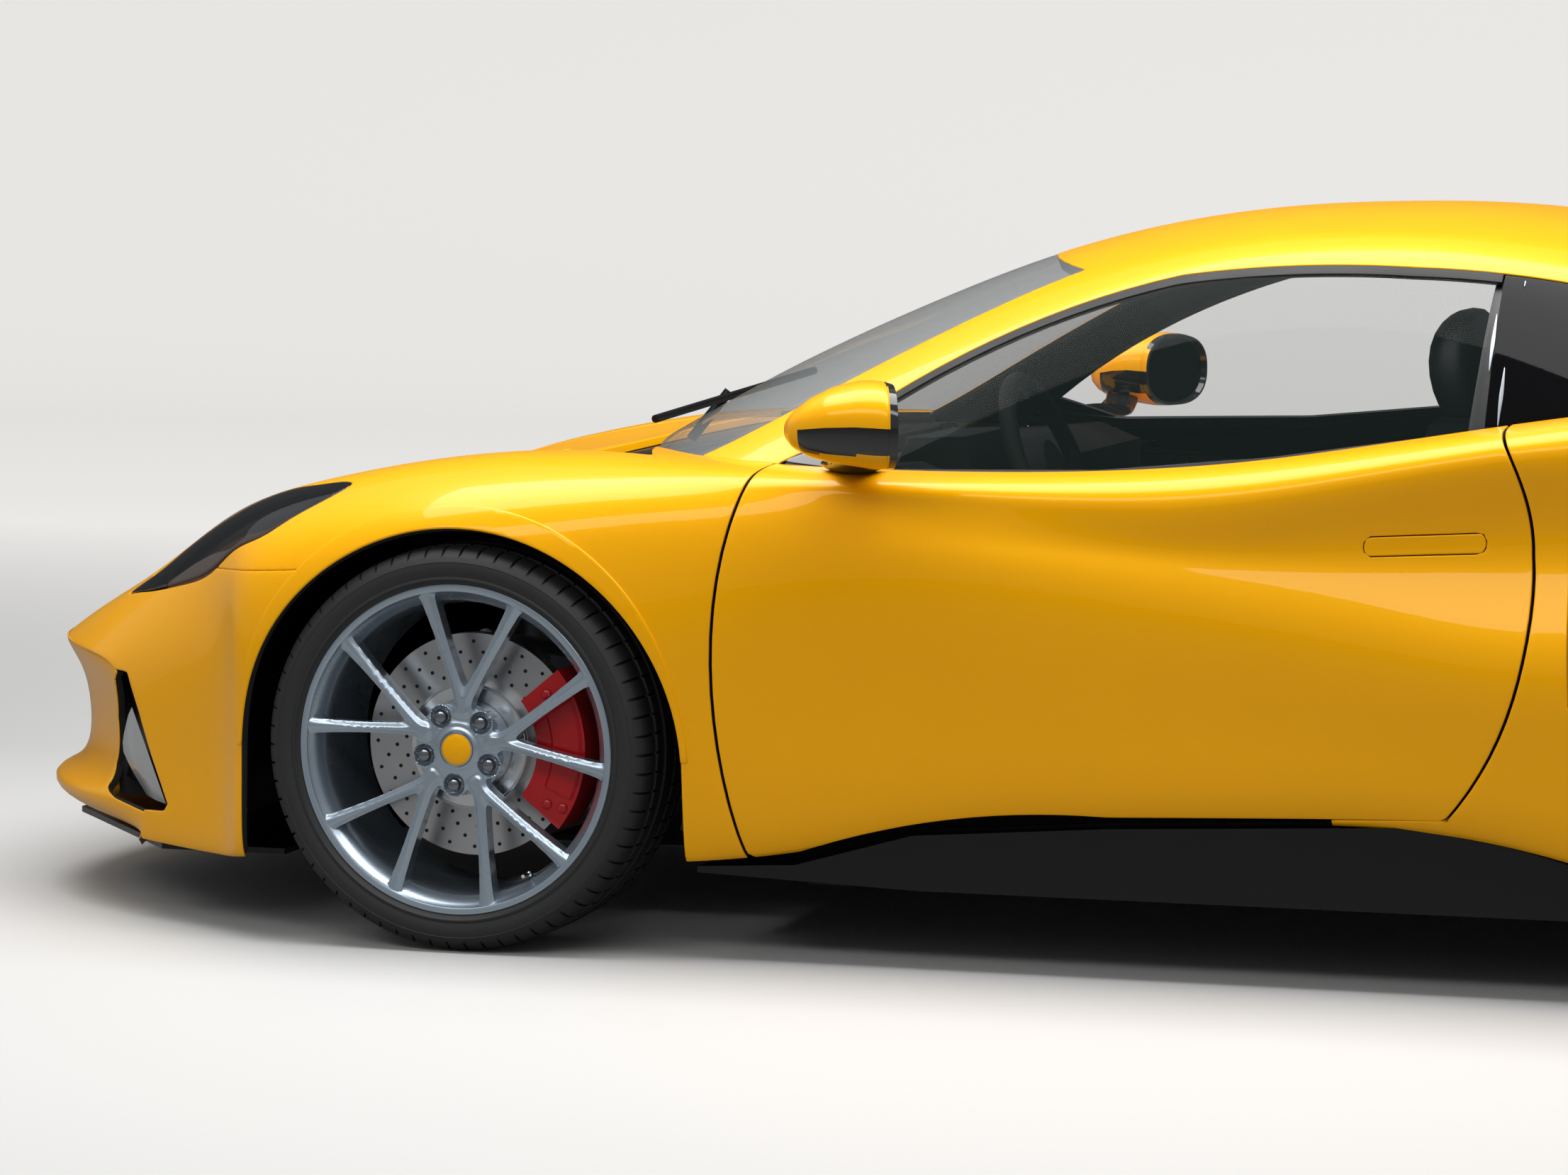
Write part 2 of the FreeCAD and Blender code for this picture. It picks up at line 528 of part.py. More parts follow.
# Uprights with calipers. The caliper straddles the disc on the side named by its angle.
def caliper_at(disc_r, face, angle):
    y = face + 66.5 + 26 + DISC_T / 2
    ring = turned([(disc_r - 62, y - 46), (disc_r + 22, y - 46), (disc_r + 22, y + 46), (disc_r - 62, y + 46)])
    slot = turned([(0, y - DISC_T / 2 - 6), (disc_r + 7, y - DISC_T / 2 - 6), (disc_r + 7, y + DISC_T / 2 + 6), (0, y + DISC_T / 2 + 6)])
    wedge = side_prism([(0, 0), (400, 330), (400, -330)], -400, 400)
    piece = ring.cut(slot).common(wedge)
    piece.rotate(V(0, 0, 0), V(0, 1, 0), -angle)
    return piece


def upright_at(disc_r, face):
    """Hub carrier behind the disc, with upper and lower ball joints."""
    y = face + 66.5 + 26 + DISC_T + 14
    plate = box(-48, 48, y, y + 34, -150, 150)
    hat_back = face + 66.5 + 6 + SEAT_GAP
    stub = rod(0, hat_back, 0, 58, y - hat_back + 10, V(0, 1, 0))
    return fused([plate, stub])


calipers = {}
uprights = {}
for name, axle_x, side, track, radius, width, disc_r in WHEELS:
    face = -width / 2 + 8
    angle = 0 if name.startswith("front") else 0
    caliper = caliper_at(disc_r, face, angle)
    bracket = box(disc_r - 110, disc_r - 20, face + 66.5 + 26 + DISC_T + 14, face + 66.5 + 26 + DISC_T + 30, -60, 60)
    upright = fused([upright_at(disc_r, face), bracket]).cut(caliper)
    for store, shape in ((calipers, caliper), (uprights, upright)):
        if side > 0:
            shape = mirrored(shape)
        shape.translate(V(axle_x, side * track, radius))
        store[name] = shape

for side_name in ("left", "right"):
    node("upright_front_" + side_name, uprights["front_" + side_name])
    node("caliper_front_" + side_name, calipers["front_" + side_name])
node("caliper_rear", Part.makeCompound([calipers["rear_left"], calipers["rear_right"]]))

# Suspension arms, springs and shafts. Rows: inner point, outer point, radius, for the left-hand side.
FRONT_ARMS = (
    ((-1000, -395, 205), (-1156, -770, 163), 16), ((-1330, -395, 205), (-1156, -770, 163), 16),
    ((-1060, -395, 440), (-1156, -770, 510), 13), ((-1270, -395, 440), (-1156, -770, 510), 13),
    ((-1084, -597, 186), (-1236, -597, 186), 14),
)
REAR_ARMS = (
    ((1270, -395, 205), (1419, -775, 215), 18), ((1580, -395, 205), (1419, -775, 215), 18),
    ((1320, -395, 450), (1419, -775, 470), 15), ((1540, -395, 450), (1419, -775, 470), 15),
    ((1350, -600, 210), (1493, -600, 210), 15),
)


def arm_set(rows):
    return [between(V(*a), V(*b), r) for a, b, r in rows]


front_suspension = fused(arm_set(FRONT_ARMS) + [
    between(V(-1160, -597, 192), V(-1166, -470, 646), 30),
    rod(FRONT_AXLE_X, -770, 486 + SEAT_GAP, 12, 22, V(0, 0, 1)), rod(FRONT_AXLE_X, -770, 186 - SEAT_GAP, 12, 22, V(0, 0, -1)),
    box(-1345, -985, -410, -370, 190, 455),
    box(-1215, -1117, -410, -380, 455, 650), box(-1215, -1117, -520, -380, 640, 650),
])
rear_suspension = fused(arm_set(REAR_ARMS) + [
    between(V(1421, -600, 215), V(1421, -470, 690), 32),
    between(V(1421, -240, 339), V(1421, -775, 339), 20),
    box(1235, 1615, -415, -370, 190, 470),
    box(1370, 1472, -415, -385, 470, 700), box(1370, 1472, -520, -385, 690, 700),
    uprights["rear_left"],
])
node("front_suspension", both(front_suspension.cut(uprights["front_left"])))
node("rear_suspension", both(rear_suspension))

# Tub, undertray, liners
FLOOR_Z = 128.0
SEAT_FLOOR_Z = 150.7
DIFFUSER_Z = 262.0
EXHAUST_Z = 380.0
tub = fused([
    box(-700, 560, -770, 770, FLOOR_Z, SEAT_FLOOR_Z),
    box(-690, 540, -770, -690, FLOOR_Z, 340), box(-690, 540, 690, 770, FLOOR_Z, 340),
    box(-600, 480, -DOOR_INNER_Y + SEAT_GAP, -770, 300, 340), box(-600, 480, 770, DOOR_INNER_Y - SEAT_GAP, 300, 340),
    box(-650, 545, -110, 110, 150, 400),
    box(-724, -700, -770, 770, FLOOR_Z, 740),
    box(540, 560, -770, 770, FLOOR_Z, 800),
    box(-1980, -724, -370, -300, 230, 330), box(-1980, -724, 300, 370, 230, 330),
    box(-1990, -1960, -450, 450, 300, 400),
    box(-1900, -724, -300, 300, 300, 312),
    box(560, 1980, 300, 370, 270, 316), box(560, 1980, -370, -300, 270, 316),
    box(1955, 1985, -450, 450, DIFFUSER_Z + SEAT_GAP, EXHAUST_Z - SEAT_GAP),
    box(560, 1980, -300, 300, 270, 282),
] + [box(x - 35, x + 35, y - 25, y + 25, 118, FLOOR_Z + 1) for x in (-560, 420) for y in (-738, 738)])
node("chassis_tub", tub)
tray = top_prism([(-2120, -300), (-1780, -700), (1900, -700), (2060, -560), (2060, 560), (1900, 700), (-1780, 700), (-2120, 300)], 117.7, 127.7)
wells = both(fused([box(FRONT_AXLE_X - 396, FRONT_AXLE_X + 396, -1000, -390, 0, 400), box(REAR_AXLE_X - 402, REAR_AXLE_X + 402, -1000, -390, 0, 400)]))
node("undertray", tray.cut(wells))


def liner_at(axle_x, radius, y_in, y_out):
    r = radius + LINER_CLEAR
    ring = Part.makeCylinder(r + LINER_T, y_out - y_in, V(axle_x, -y_out, ARCH_Z), V(0, 1, 0))
    ring = ring.cut(Part.makeCylinder(r, y_out - y_in + 20, V(axle_x, -y_out - 10, ARCH_Z), V(0, 1, 0)))
    return ring.cut(box(axle_x - 500, axle_x + 500, -1000, -300, -200, 215))


liners = fused([liner_at(FRONT_AXLE_X, ARCH_R_FRONT, 500, 930), liner_at(REAR_AXLE_X, ARCH_R_REAR, 570, 950)])
liners = liners.common(cavity)

# Doors, panels and glass
for side_name, flip in (("left", False), ("right", True)):
    for kind, shape in (("door_", door), ("door_glass_", door_glass)):
        node(kind + side_name, mirrored(shape) if flip else shape)
node("bonnet", bonnet)
node("headlamps", lamps)
node("front_bumper", front_bumper)
node("front_wings", keep(wings, PANEL_LEAST))
node("cowl", cowl)
node("rear_quarters", quarters.cut(roof_frame))
node("rear_bumper", rear_bumper)
node("roof_frame", keep(roof_frame, PANEL_LEAST))
node("windscreen", windscreen)
node("quarter_windows", both(quarter_glass.cut(roof_frame)))
node("tailgate", tailgate)
node("rear_window", rear_window)
node("wheel_liners", both(liners))
bonnet_seal = top_prism(plan_trapezium(BONNET_FRONT_X - 16, BONNET_FRONT_Y + 12, BONNET_FRONT_MID - 16, -1140, 602, -1141, 0), 540, 1000)
bonnet_seal = bonnet_seal.cut(top_prism(plan_trapezium(BONNET_FRONT_X + 24, BONNET_FRONT_Y - 22, BONNET_FRONT_MID + 24, -1130, 566, -1131, 0), 500, 1100))
tailgate_seal = top_prism(plan_trapezium(TAILGATE_FRONT_X - 14, TAILGATE_FRONT_Y + 14, TAILGATE_FRONT_X - 13, TAILGATE_REAR_X + 14, TAILGATE_REAR_Y + 14, TAILGATE_REAR_X + 24, 0), 800, 1300)
tailgate_seal = tailgate_seal.cut(top_prism(plan_trapezium(TAILGATE_FRONT_X + 22, TAILGATE_FRONT_Y - 22, TAILGATE_FRONT_X + 23, TAILGATE_REAR_X - 22, TAILGATE_REAR_Y - 22, TAILGATE_REAR_X - 12, 0), 800, 1300))
seals = [
    thick_skin(BODY_NET, -SKIN - SEAT_GAP, -SKIN - 6).common(bonnet_seal).cut(lamps),
    thick_skin(GLASS_NET, -ROOF_WALL - SEAT_GAP, -ROOF_WALL - 7).common(tailgate_seal).cut(body_skin),
]
node("panel_seals", Part.makeCompound(seals))

# Grilles, intakes and lamps
front_grille_net = fascia_net(((77.6, 400), (89.6, 340), (89.6, 270), (77.6, 228)), ((0, 0), (0, 0), (0, 400), (800, 400)), nose_x, 1, 700, 690)
front_mesh = thick_skin(front_grille_net, 0, 8)
node("front_grilles", front_mesh.cut(front_bumper).cut(tub))
intake_mesh = thick_skin(BODY_NET, -SKIN - SEAT_GAP, -SKIN - 8).common(both(side_prism(grown(SIDE_INTAKE, 14), -1000, -800)))
node("side_intakes", intake_mesh)
node("tail_lamps", thick_skin(TAIL_NET, -4, -24).common(both(front_prism([(-727.7, 742.33), (-432.3, 770.33), (-432.3, 799.7), (-727.7, 799.7)], 1800, 2300))))
diffuser = top_prism([(1860, -560), (2120, -560), (2175, 0, "via"), (2120, 560), (1860, 560)], 150, DIFFUSER_Z)
fins = [box(1900, 2140, y - 6, y + 6, 128, 200) for y in (-420, -210, 210, 420)]
diffuser = diffuser.cut(side_prism([(1800, 100), (2200, 100), (2200, 240), (1900, 160)], -700, 700))
node("diffuser", fused([diffuser] + fins))
skirt = side_prism([(-750, 146), (-380, 132), (960, 132), (1000, 146), (1000, 160), (690, 215), (485, 270), (-64, 245), (-386, 221), (-583, 165), (-750, 156)], -872, -776)
node("side_skirts", both(skirt.cut(door).cut(lower).cut(arches)))

# Engine as one plain block, exhaust and tips
node("engine", fused([box(640, 1180, -290, 290, 282, 780), box(1180, 1560, -240, 240, 282, 520)]))
exhaust = fused([box(1640, 1990, -420, 420, 380, 560)] + [
    rod(1980, y, 455, 46, 190, V(1, 0, 0)).cut(rod(2040, y, 455, 40, 190, V(1, 0, 0))) for y in (-330, 330)])
node("exhaust", exhaust)

# Cabin
SEAT_Y = 365.0
STEER = V(-290, -SEAT_Y, 767)
STEER_TILT = 22.0


def seat():
    cushion = side_prism([(-190, 250), (-180, 345), (-60, 395), (200, 330), (340, 330), (340, 180), (-120, 180)], -215, 215)
    back = side_prism([(250, 320), (340, 300), (440, 640), (462, 880), (400, 900), (340, 640)], -215, 215)
    wings_ = [side_prism([(190, 330), (330, 300), (430, 620), (455, 840), (400, 860), (290, 700), (250, 560)], y - 22, y + 22) for y in (-212, 212)]
    head = side_prism([(362, 900), (352, 1040), (385, 1066), (430, 1050), (452, 880)], -120, 120)
    rails = [box(-140, 320, y - 20, y + 20, 151, 185) for y in (-150, 150)]
    return fused([cushion, back, head] + wings_ + rails)


node("seats", both(seat().translated(V(0, -SEAT_Y, 0))))
dash = side_prism([(-690, 420), (-690, 730), (-640, 786), (-470, 800), (-395, 770), (-390, 640), (-470, 560), (-560, 420)], -660, 660)
console = side_prism([(-560, 401), (-470, 620), (-380, 600), (-120, 470), (420, 440), (420, 401)], -95, 95)
binnacle = side_prism([(-520, 780), (-500, 838), (-400, 842), (-385, 780)], -520, -220)
steer_axis = V(math.cos(math.radians(STEER_TILT)), 0, math.sin(math.radians(STEER_TILT)))
column_bore = Part.makeCylinder(30, 260, STEER - steer_axis * 290, steer_axis)
node("dashboard", fused([dash, console, binnacle]).cut(column_bore))

wheel_rim = Part.makeTorus(172, 15, V(0, 0, 0), V(1, 0, 0))
hub = rod(-30, 0, 0, 62, 44, V(1, 0, 0))
arms = [box(-16, 8, -170, 170, -14, 14), box(-16, 8, -14, 14, -170, 0)]
column = rod(-128, 0, 0, 24, 100, V(1, 0, 0))
steering_wheel = fused([wheel_rim, hub, column] + arms)
steering_wheel.rotate(V(0, 0, 0), V(0, 1, 0), -STEER_TILT)
steering_wheel.translate(STEER)
node("steering_wheel", steering_wheel)

# Door mirrors
MIRROR = V(-470, -955, 886)
head = Part.makeSphere(1)
matrix = FreeCAD.Matrix()
matrix.scale(V(94, 96, 70))
head = head.transformGeometry(matrix)
head.translate(MIRROR)
head = head.cut(box(MIRROR.x + 86, MIRROR.x + 200, -1100, -800, 700, 1000))
stalk = fused([box(-512, -452, -905, -812, 794, 826), box(-508, -456, -905, -880, 812, 850)])
mirror = fused([head, stalk]).cut(door).cut(door_glass)
for side_name, flip in (("left", False), ("right", True)):
    node("mirror_" + side_name, mirrored(mirror) if flip else mirror)

# Wipers
wiper = fused([between(V(-1010, -330, 850), V(-905, 250, 908), 7), between(V(-1030, -80, 800), V(-965, -60, 885), 9)])
node("wipers", wiper.cut(windscreen))

os.makedirs("parts", exist_ok=True)
for name, shape in NODES.items():
    shape.exportStep("parts/" + name + ".step")
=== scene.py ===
import json
import math

import bpy
import numpy as np
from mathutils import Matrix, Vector
from mathutils.bvhtree import BVHTree


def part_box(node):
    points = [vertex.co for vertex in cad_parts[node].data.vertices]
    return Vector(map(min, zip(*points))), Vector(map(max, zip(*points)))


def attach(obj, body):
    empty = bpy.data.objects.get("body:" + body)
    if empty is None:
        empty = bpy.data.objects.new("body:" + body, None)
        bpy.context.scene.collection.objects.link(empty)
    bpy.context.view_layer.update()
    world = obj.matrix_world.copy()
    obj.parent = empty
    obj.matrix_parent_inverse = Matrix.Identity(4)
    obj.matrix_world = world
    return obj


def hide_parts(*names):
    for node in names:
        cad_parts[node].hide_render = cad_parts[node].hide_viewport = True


bl_info = {
    "name": "Two-seat coupe",
    "version": (1, 0, 0),
    "blender": (4, 5, 0),
    "location": "3D View > Sidebar > Coupe",
    "description": "Dresses a two-seat mid-engined coupe: painted panels, glass, lamps, wheels and cabin",
    "category": "Object",
}

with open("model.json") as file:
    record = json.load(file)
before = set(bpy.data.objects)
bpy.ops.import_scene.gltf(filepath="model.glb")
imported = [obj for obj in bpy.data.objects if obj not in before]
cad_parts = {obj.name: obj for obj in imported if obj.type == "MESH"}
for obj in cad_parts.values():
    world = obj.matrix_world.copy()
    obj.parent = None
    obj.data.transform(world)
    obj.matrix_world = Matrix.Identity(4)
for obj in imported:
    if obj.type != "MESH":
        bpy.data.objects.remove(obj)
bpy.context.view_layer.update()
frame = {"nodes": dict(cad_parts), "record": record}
MM = 0.001

# Driving sizes, in millimetres as on the drawing of the solids
LENGTH = 4412.0
NOSE_X = -LENGTH / 2
TAIL_X = LENGTH / 2
FRONT_AXLE_X = -1156.0
REAR_AXLE_X = 1419.0
SKIN = 14.0
SHUT_GAP = 6.0
EDGE = 1.5
GLASS_STEP = 20.0
ARCH_Z = 312.0
ARCHES = (("front", FRONT_AXLE_X, 390.0), ("rear", REAR_AXLE_X, 396.0))
ARCH_INNER_Y = 480.0


def nose_x(y):
    """Plan curve of the nose."""
    return NOSE_X + 650.0 * (abs(y) / 900.0) ** 2.5


def tail_x(y):
    """Plan curve of the tail."""
    return TAIL_X - 250.0 * (abs(y) / 800.0) ** 2.6


def sections(rows):
    """Rows of x, a share or bow, a height, and y and z in turn, as rows of x, share or bow and (y, z)."""
    return tuple(row[:2] + ((0, row[2]),) + tuple(zip(row[3::2], row[4::2])) for row in rows)


# Body sections from nose to tail. First line: centre x, share of the nose or tail plan curve, height of
# the centre line, y and z of two deck points and of the crest. Second line: y and z of the shoulder,
# channel, ridge, low side, sill and sill lip.
BODY = sections((
    (-2182, 1, 446, 200, 446, 400, 446, 560, 443,
     650, 430, 696, 370, 714, 290, 724, 215, 728, 160, 716, 138),
    (-2085, 0.85, 506, 230, 508, 450, 515, 610, 522,
     712, 492, 770, 446, 780, 350, 788, 240, 808, 158, 788, 134),
    (-1900, 0.55, 583, 250, 589, 480, 608, 640, 634,
     760, 596, 836, 500, 852, 430, 840, 300, 860, 165, 840, 134),
    (-1680, 0.2, 660, 250, 666, 490, 694, 672, 718,
     806, 668, 876, 588, 896, 466, 888, 315, 900, 172, 880, 138),
    (-1450, 0, 724, 260, 730, 500, 750, 690, 765,
     828, 715, 900, 640, 924, 520, 922, 350, 902, 190, 890, 145),
    (-1250, 0, 768, 260, 772, 500, 786, 700, 803,
     840, 757, 914, 688, 938, 560, 934, 380, 911, 200, 899, 150),
    (-1050, 0, 800, 260, 802, 500, 808, 712, 816,
     846, 776, 916, 705, 938, 570, 930, 390, 909, 200, 897, 150),
    (-850, 0, 812, 260, 812, 500, 812, 752, 812,
     858, 776, 904, 712, 922, 570, 916, 390, 897, 205, 885, 160),
    (-600, 0, 804, 260, 804, 500, 804, 820, 804,
     878, 768, 900, 706, 912, 600, 900, 400, 893, 215, 873, 180),
    (-300, 0, 804, 260, 804, 500, 804, 836, 804,
     880, 758, 894, 700, 908, 626, 892, 405, 886, 270, 864, 240),
    (50, 0, 820, 260, 820, 500, 820, 842, 820,
     888, 740, 882, 682, 908, 602, 888, 405, 884, 286, 861, 254),
    (350, 0, 858, 260, 858, 500, 858, 846, 860,
     893, 786, 872, 690, 916, 578, 896, 400, 890, 298, 866, 266),
    (620, 0, 896, 260, 896, 500, 896, 842, 902,
     902, 836, 866, 704, 934, 556, 916, 395, 906, 272, 884, 240),
    (900, 0, 905, 260, 905, 500, 908, 828, 940,
     916, 858, 898, 728, 944, 574, 938, 395, 921, 205, 901, 170),
    (1200, 0, 905, 260, 905, 500, 912, 812, 956,
     918, 868, 938, 752, 947, 612, 942, 408, 921, 185, 905, 152),
    (1500, 0, 900, 260, 900, 500, 908, 786, 958,
     902, 878, 934, 764, 945, 622, 940, 415, 919, 190, 904, 155),
    (1800, 0, 902, 260, 902, 500, 908, 742, 942,
     856, 876, 900, 772, 918, 640, 915, 440, 895, 250, 879, 215),
    (2010, 0.6, 920, 260, 920, 480, 920, 680, 926,
     786, 876, 842, 780, 864, 650, 865, 470, 849, 310, 835, 280),
    (2195, 1, 936, 240, 935, 440, 930, 590, 914,
     678, 872, 734, 790, 756, 660, 757, 500, 747, 360, 735, 335),
))

# Glasshouse sections. Columns: centre x, bow at y = 700, height of the centre line, and then y and z of
# the roof, rail, window top, window foot and buried base.
GLASSHOUSE = sections((
    (-1060, 168, 806, 300, 803, 560, 792, 715, 776, 790, 745, 825, 700),
    (-900, 155, 898, 290, 890, 555, 862, 705, 816, 786, 760, 835, 690),
    (-736, 150, 981, 280, 972, 540, 938, 690, 874, 778, 790, 845, 690),
    (-521, 150, 1074, 270, 1064, 515, 1026, 665, 962, 768, 842, 850, 690),
    (-340, 145, 1141, 265, 1131, 495, 1094, 648, 1032, 760, 885, 852, 690),
    (-150, 120, 1190, 260, 1180, 482, 1146, 634, 1090, 752, 915, 852, 700),
    (50, 70, 1218, 260, 1209, 474, 1178, 626, 1124, 748, 938, 850, 720),
    (250, 30, 1226, 260, 1217, 472, 1188, 622, 1136, 744, 950, 848, 740),
    (450, 0, 1222, 260, 1213, 470, 1184, 618, 1134, 742, 958, 844, 760),
    (700, 0, 1190, 255, 1182, 460, 1154, 604, 1104, 736, 960, 832, 800),
    (1000, 0, 1128, 250, 1120, 440, 1096, 582, 1050, 708, 958, 800, 850),
    (1300, 0, 1054, 240, 1048, 425, 1028, 556, 994, 670, 944, 760, 870),
    (1600, 0, 984, 240, 981, 425, 968, 550, 948, 654, 920, 732, 870),
    (1850, 0, 938, 240, 937, 430, 929, 556, 912, 656, 886, 730, 830),
    (2020, 0, 870, 240, 870, 430, 864, 556, 850, 656, 830, 730, 790),
))

# Front and rear fascias as profiles: set back from the plan curve, height
NOSE_PROFILE = (
    (24, 447), (26, 436), (50, 400), (66, 345), (68, 272), (46, 228), (6, 206), (0, 192), (16, 170),
    (90, 146), (240, 136),
)
TAIL_PROFILE = (
    (11, 936), (16, 918), (60, 890), (84, 800), (70, 690), (34, 600), (12, 520), (16, 430), (50, 350),
    (140, 330),
)

# The point of a body section that the upper corners of both fascias meet: the shoulder
CORNER_POINT = 4


# Surfaces

def mirrored_rows(rows, place):
    """A net of points from the left edge over the centre line to the right edge, in metres."""
    net = []
    for x, bow, *points in rows:
        right = [(place(x, bow, y), y, z) for y, z in points]
        net.append([(px, -py, pz) for px, py, pz in reversed(right[1:])] + right)
    return np.array(net) * MM


def body_place(x, share, y):
    """x of a body section at a half width, where it follows the nose or tail by a share."""
    if x < 0:
        return x + share * (nose_x(y) - NOSE_X)
    return x + share * (tail_x(y) - TAIL_X)


def glass_place(x, bow, y):
    """x of a glasshouse section at a half width, where it bows rearward."""
    return x + bow * (y / 700.0) ** 2


def height_at(points, y):
    """Height of a section's upper part at a given half width."""
    for (y0, z0), (y1, z1) in zip(points, points[1:]):
        if y0 <= y <= y1:
            return z0 + (z1 - z0) * (y - y0) / (y1 - y0)
    return points[-1][1]


def fascia_net(profile, end_row, curve, sign, fade, drop=0.0):
    """A net for the nose or tail, whose relief fades out towards the corners, in metres.

    Its sides follow the end row of the body from the row's corner down, and its top lies a drop below."""
    net = []
    top, base = profile[0][1], profile[-1][1]
    side_widths, side_heights = zip(*reversed(end_row[2 + CORNER_POINT:]))
    corner_y, corner_z = side_widths[-1], side_heights[-1]
    for back, z in profile:
        share = (z - base) / (top - base)
        half = float(np.interp(base + share * (corner_z - base), side_heights, side_widths))
        row = []
        for k in range(-8, 9):
            y = half * k / 8.0
            faded = max(0.0, (abs(y) / half - fade) / (1 - fade))
            depth = back + (profile[0][0] - back) * faded * faded
            edge = height_at(end_row[2:], min(abs(y) / half, 1.0) * corner_y) - drop
            row.append((curve(y) + sign * depth, y, base + share * (edge - base)))
        net.append(row)
    return np.array(net) * MM


def sharpened(net):
    """Poles that bring the smooth surface close to the points of a net."""
    poles = net.copy()
    poles[:, 1:-1] += (2 * net[:, 1:-1] - net[:, :-2] - net[:, 2:]) / 6
    out = poles.copy()
    out[1:-1] += (2 * poles[1:-1] - poles[:-2] - poles[2:]) / 6
    return out


def spline_basis(count, at):
    """Values of the clamped cubic basis functions; one row per sample, one column per pole."""
    knots = np.concatenate(([0] * 3, np.arange(count - 2), [count - 3] * 3)).astype(float)
    at = np.clip(at, 0, count - 3 - 1e-9)
    table = np.array([(knots[i] <= at) & (at < knots[i + 1]) for i in range(len(knots) - 1)], float).T
    for degree in (1, 2, 3):
        grown = np.zeros((len(at), table.shape[1] - 1))
        for i in range(table.shape[1] - 1):
            left = knots[i + degree] - knots[i]
            right = knots[i + degree + 1] - knots[i + 1]
            if left > 0:
                grown[:, i] += (at - knots[i]) / left * table[:, i]
            if right > 0:
                grown[:, i] += (knots[i + degree + 1] - at) / right * table[:, i + 1]
        table = grown
    return table


class Surface:
    """A smooth surface over a net of points; it runs rearward by rows and left to right by columns."""

    def __init__(self, net, flip=False):
        self.poles = sharpened(net)
        self.rows, self.columns = net.shape[:2]
        self.flip = flip

    def at(self, us, vs):
        """Points and outward normals on the grid of two lists of parameters."""
        step = 1e-3
        points = self._points(us, vs)
        u0, u1 = np.clip(us - step, 0, self.rows - 3), np.clip(us + step, 0, self.rows - 3)
        v0, v1 = np.clip(vs - step, 0, self.columns - 3), np.clip(vs + step, 0, self.columns - 3)
        along = self._points(u1, vs) - self._points(u0, vs)
        across = self._points(us, v1) - self._points(us, v0)
        normals = np.cross(along, across)
        if self.flip:
            normals = -normals
        return points, normals / np.maximum(np.linalg.norm(normals, axis=2, keepdims=True), 1e-12)

    def _points(self, us, vs):
        rows = np.tensordot(spline_basis(self.rows, us), self.poles, 1)
        return np.tensordot(spline_basis(self.columns, vs), rows, (1, 1)).transpose(1, 0, 2)

    def spaced(self, step, axis):
        """Parameters about one step apart along the surface."""
        us = np.linspace(0, self.rows - 3, 6 * self.rows)
        vs = np.linspace(0, self.columns - 3, 6 * self.columns)
        points = self._points(us, vs)
        lengths = np.linalg.norm(np.diff(points, axis=axis), axis=2).max(axis=1 - axis)
        travelled = np.concatenate(([0], np.cumsum(lengths)))
        count = max(4, int(travelled[-1] / step))
        return np.interp(np.linspace(0, travelled[-1], count + 1), travelled, us if axis == 0 else vs)


BODY_SURFACE = Surface(mirrored_rows(BODY, body_place))
GLASS_SURFACE = Surface(mirrored_rows(GLASSHOUSE, glass_place))
NOSE_SURFACE = Surface(fascia_net(NOSE_PROFILE, BODY[0], nose_x, 1, 0.73), flip=True)
TAIL_SURFACE = Surface(fascia_net(TAIL_PROFILE, BODY[-1], tail_x, -1, 0.77, SKIN + 3))


def surface_tree(surface, step=0.02):
    """A search tree over a coarse mesh of a surface."""
    us, vs = surface.spaced(step, 0), surface.spaced(step, 1)
    points, _ = surface.at(us, vs)
    n, m = points.shape[:2]
    index = np.arange(n * m).reshape(n, m)
    quads = np.stack([index[:-1, :-1], index[1:, :-1], index[1:, 1:], index[:-1, 1:]], axis=2).reshape(-1, 4)
    return BVHTree.FromPolygons(points.reshape(-1, 3).tolist(), quads.tolist())


# Outlines. Each takes points in metres and returns a signed distance, negative inside.

def bent(points, parts=14):
    """An outline's corners with its arcs, marked "via" at their middle, drawn as short chords."""
    out = []
    count = len(points)
    i = 0
    while i < count:
        start, following = points[i], points[(i + 1) % count]
        out.append(start[:2])
        arced = len(following) == 3
        if arced:
            end = points[(i + 2) % count]
            out += arc_points(start[:2], following[:2], end[:2], parts)[1:-1]
        i += 2 if arced else 1
    return np.array(out, float)


def arc_points(a, b, c, parts):
    """Points on the arc from a over b to c."""
    (ax, ay), (bx, by), (cx, cy) = a, b, c
    d = 2 * (ax * (by - cy) + bx * (cy - ay) + cx * (ay - by))
    ux = ((ax**2 + ay**2) * (by - cy) + (bx**2 + by**2) * (cy - ay) + (cx**2 + cy**2) * (ay - by)) / d
    uy = ((ax**2 + ay**2) * (cx - bx) + (bx**2 + by**2) * (ax - cx) + (cx**2 + cy**2) * (bx - ax)) / d
    r = math.hypot(ax - ux, ay - uy)
    t0, t1, t2 = (math.atan2(y - uy, x - ux) for x, y in (a, b, c))
    sweep = (t2 - t0) % (2 * math.pi)
    if (t1 - t0) % (2 * math.pi) > sweep:
        sweep -= 2 * math.pi
    turns = [t0 + sweep * k / parts for k in range(parts + 1)]
    return [(ux + r * math.cos(turn), uy + r * math.sin(turn)) for turn in turns]


# Metres beyond which distances are not worked out, and within which a point lies on a cut
FAR = 0.15
ON_LINE = 2e-5


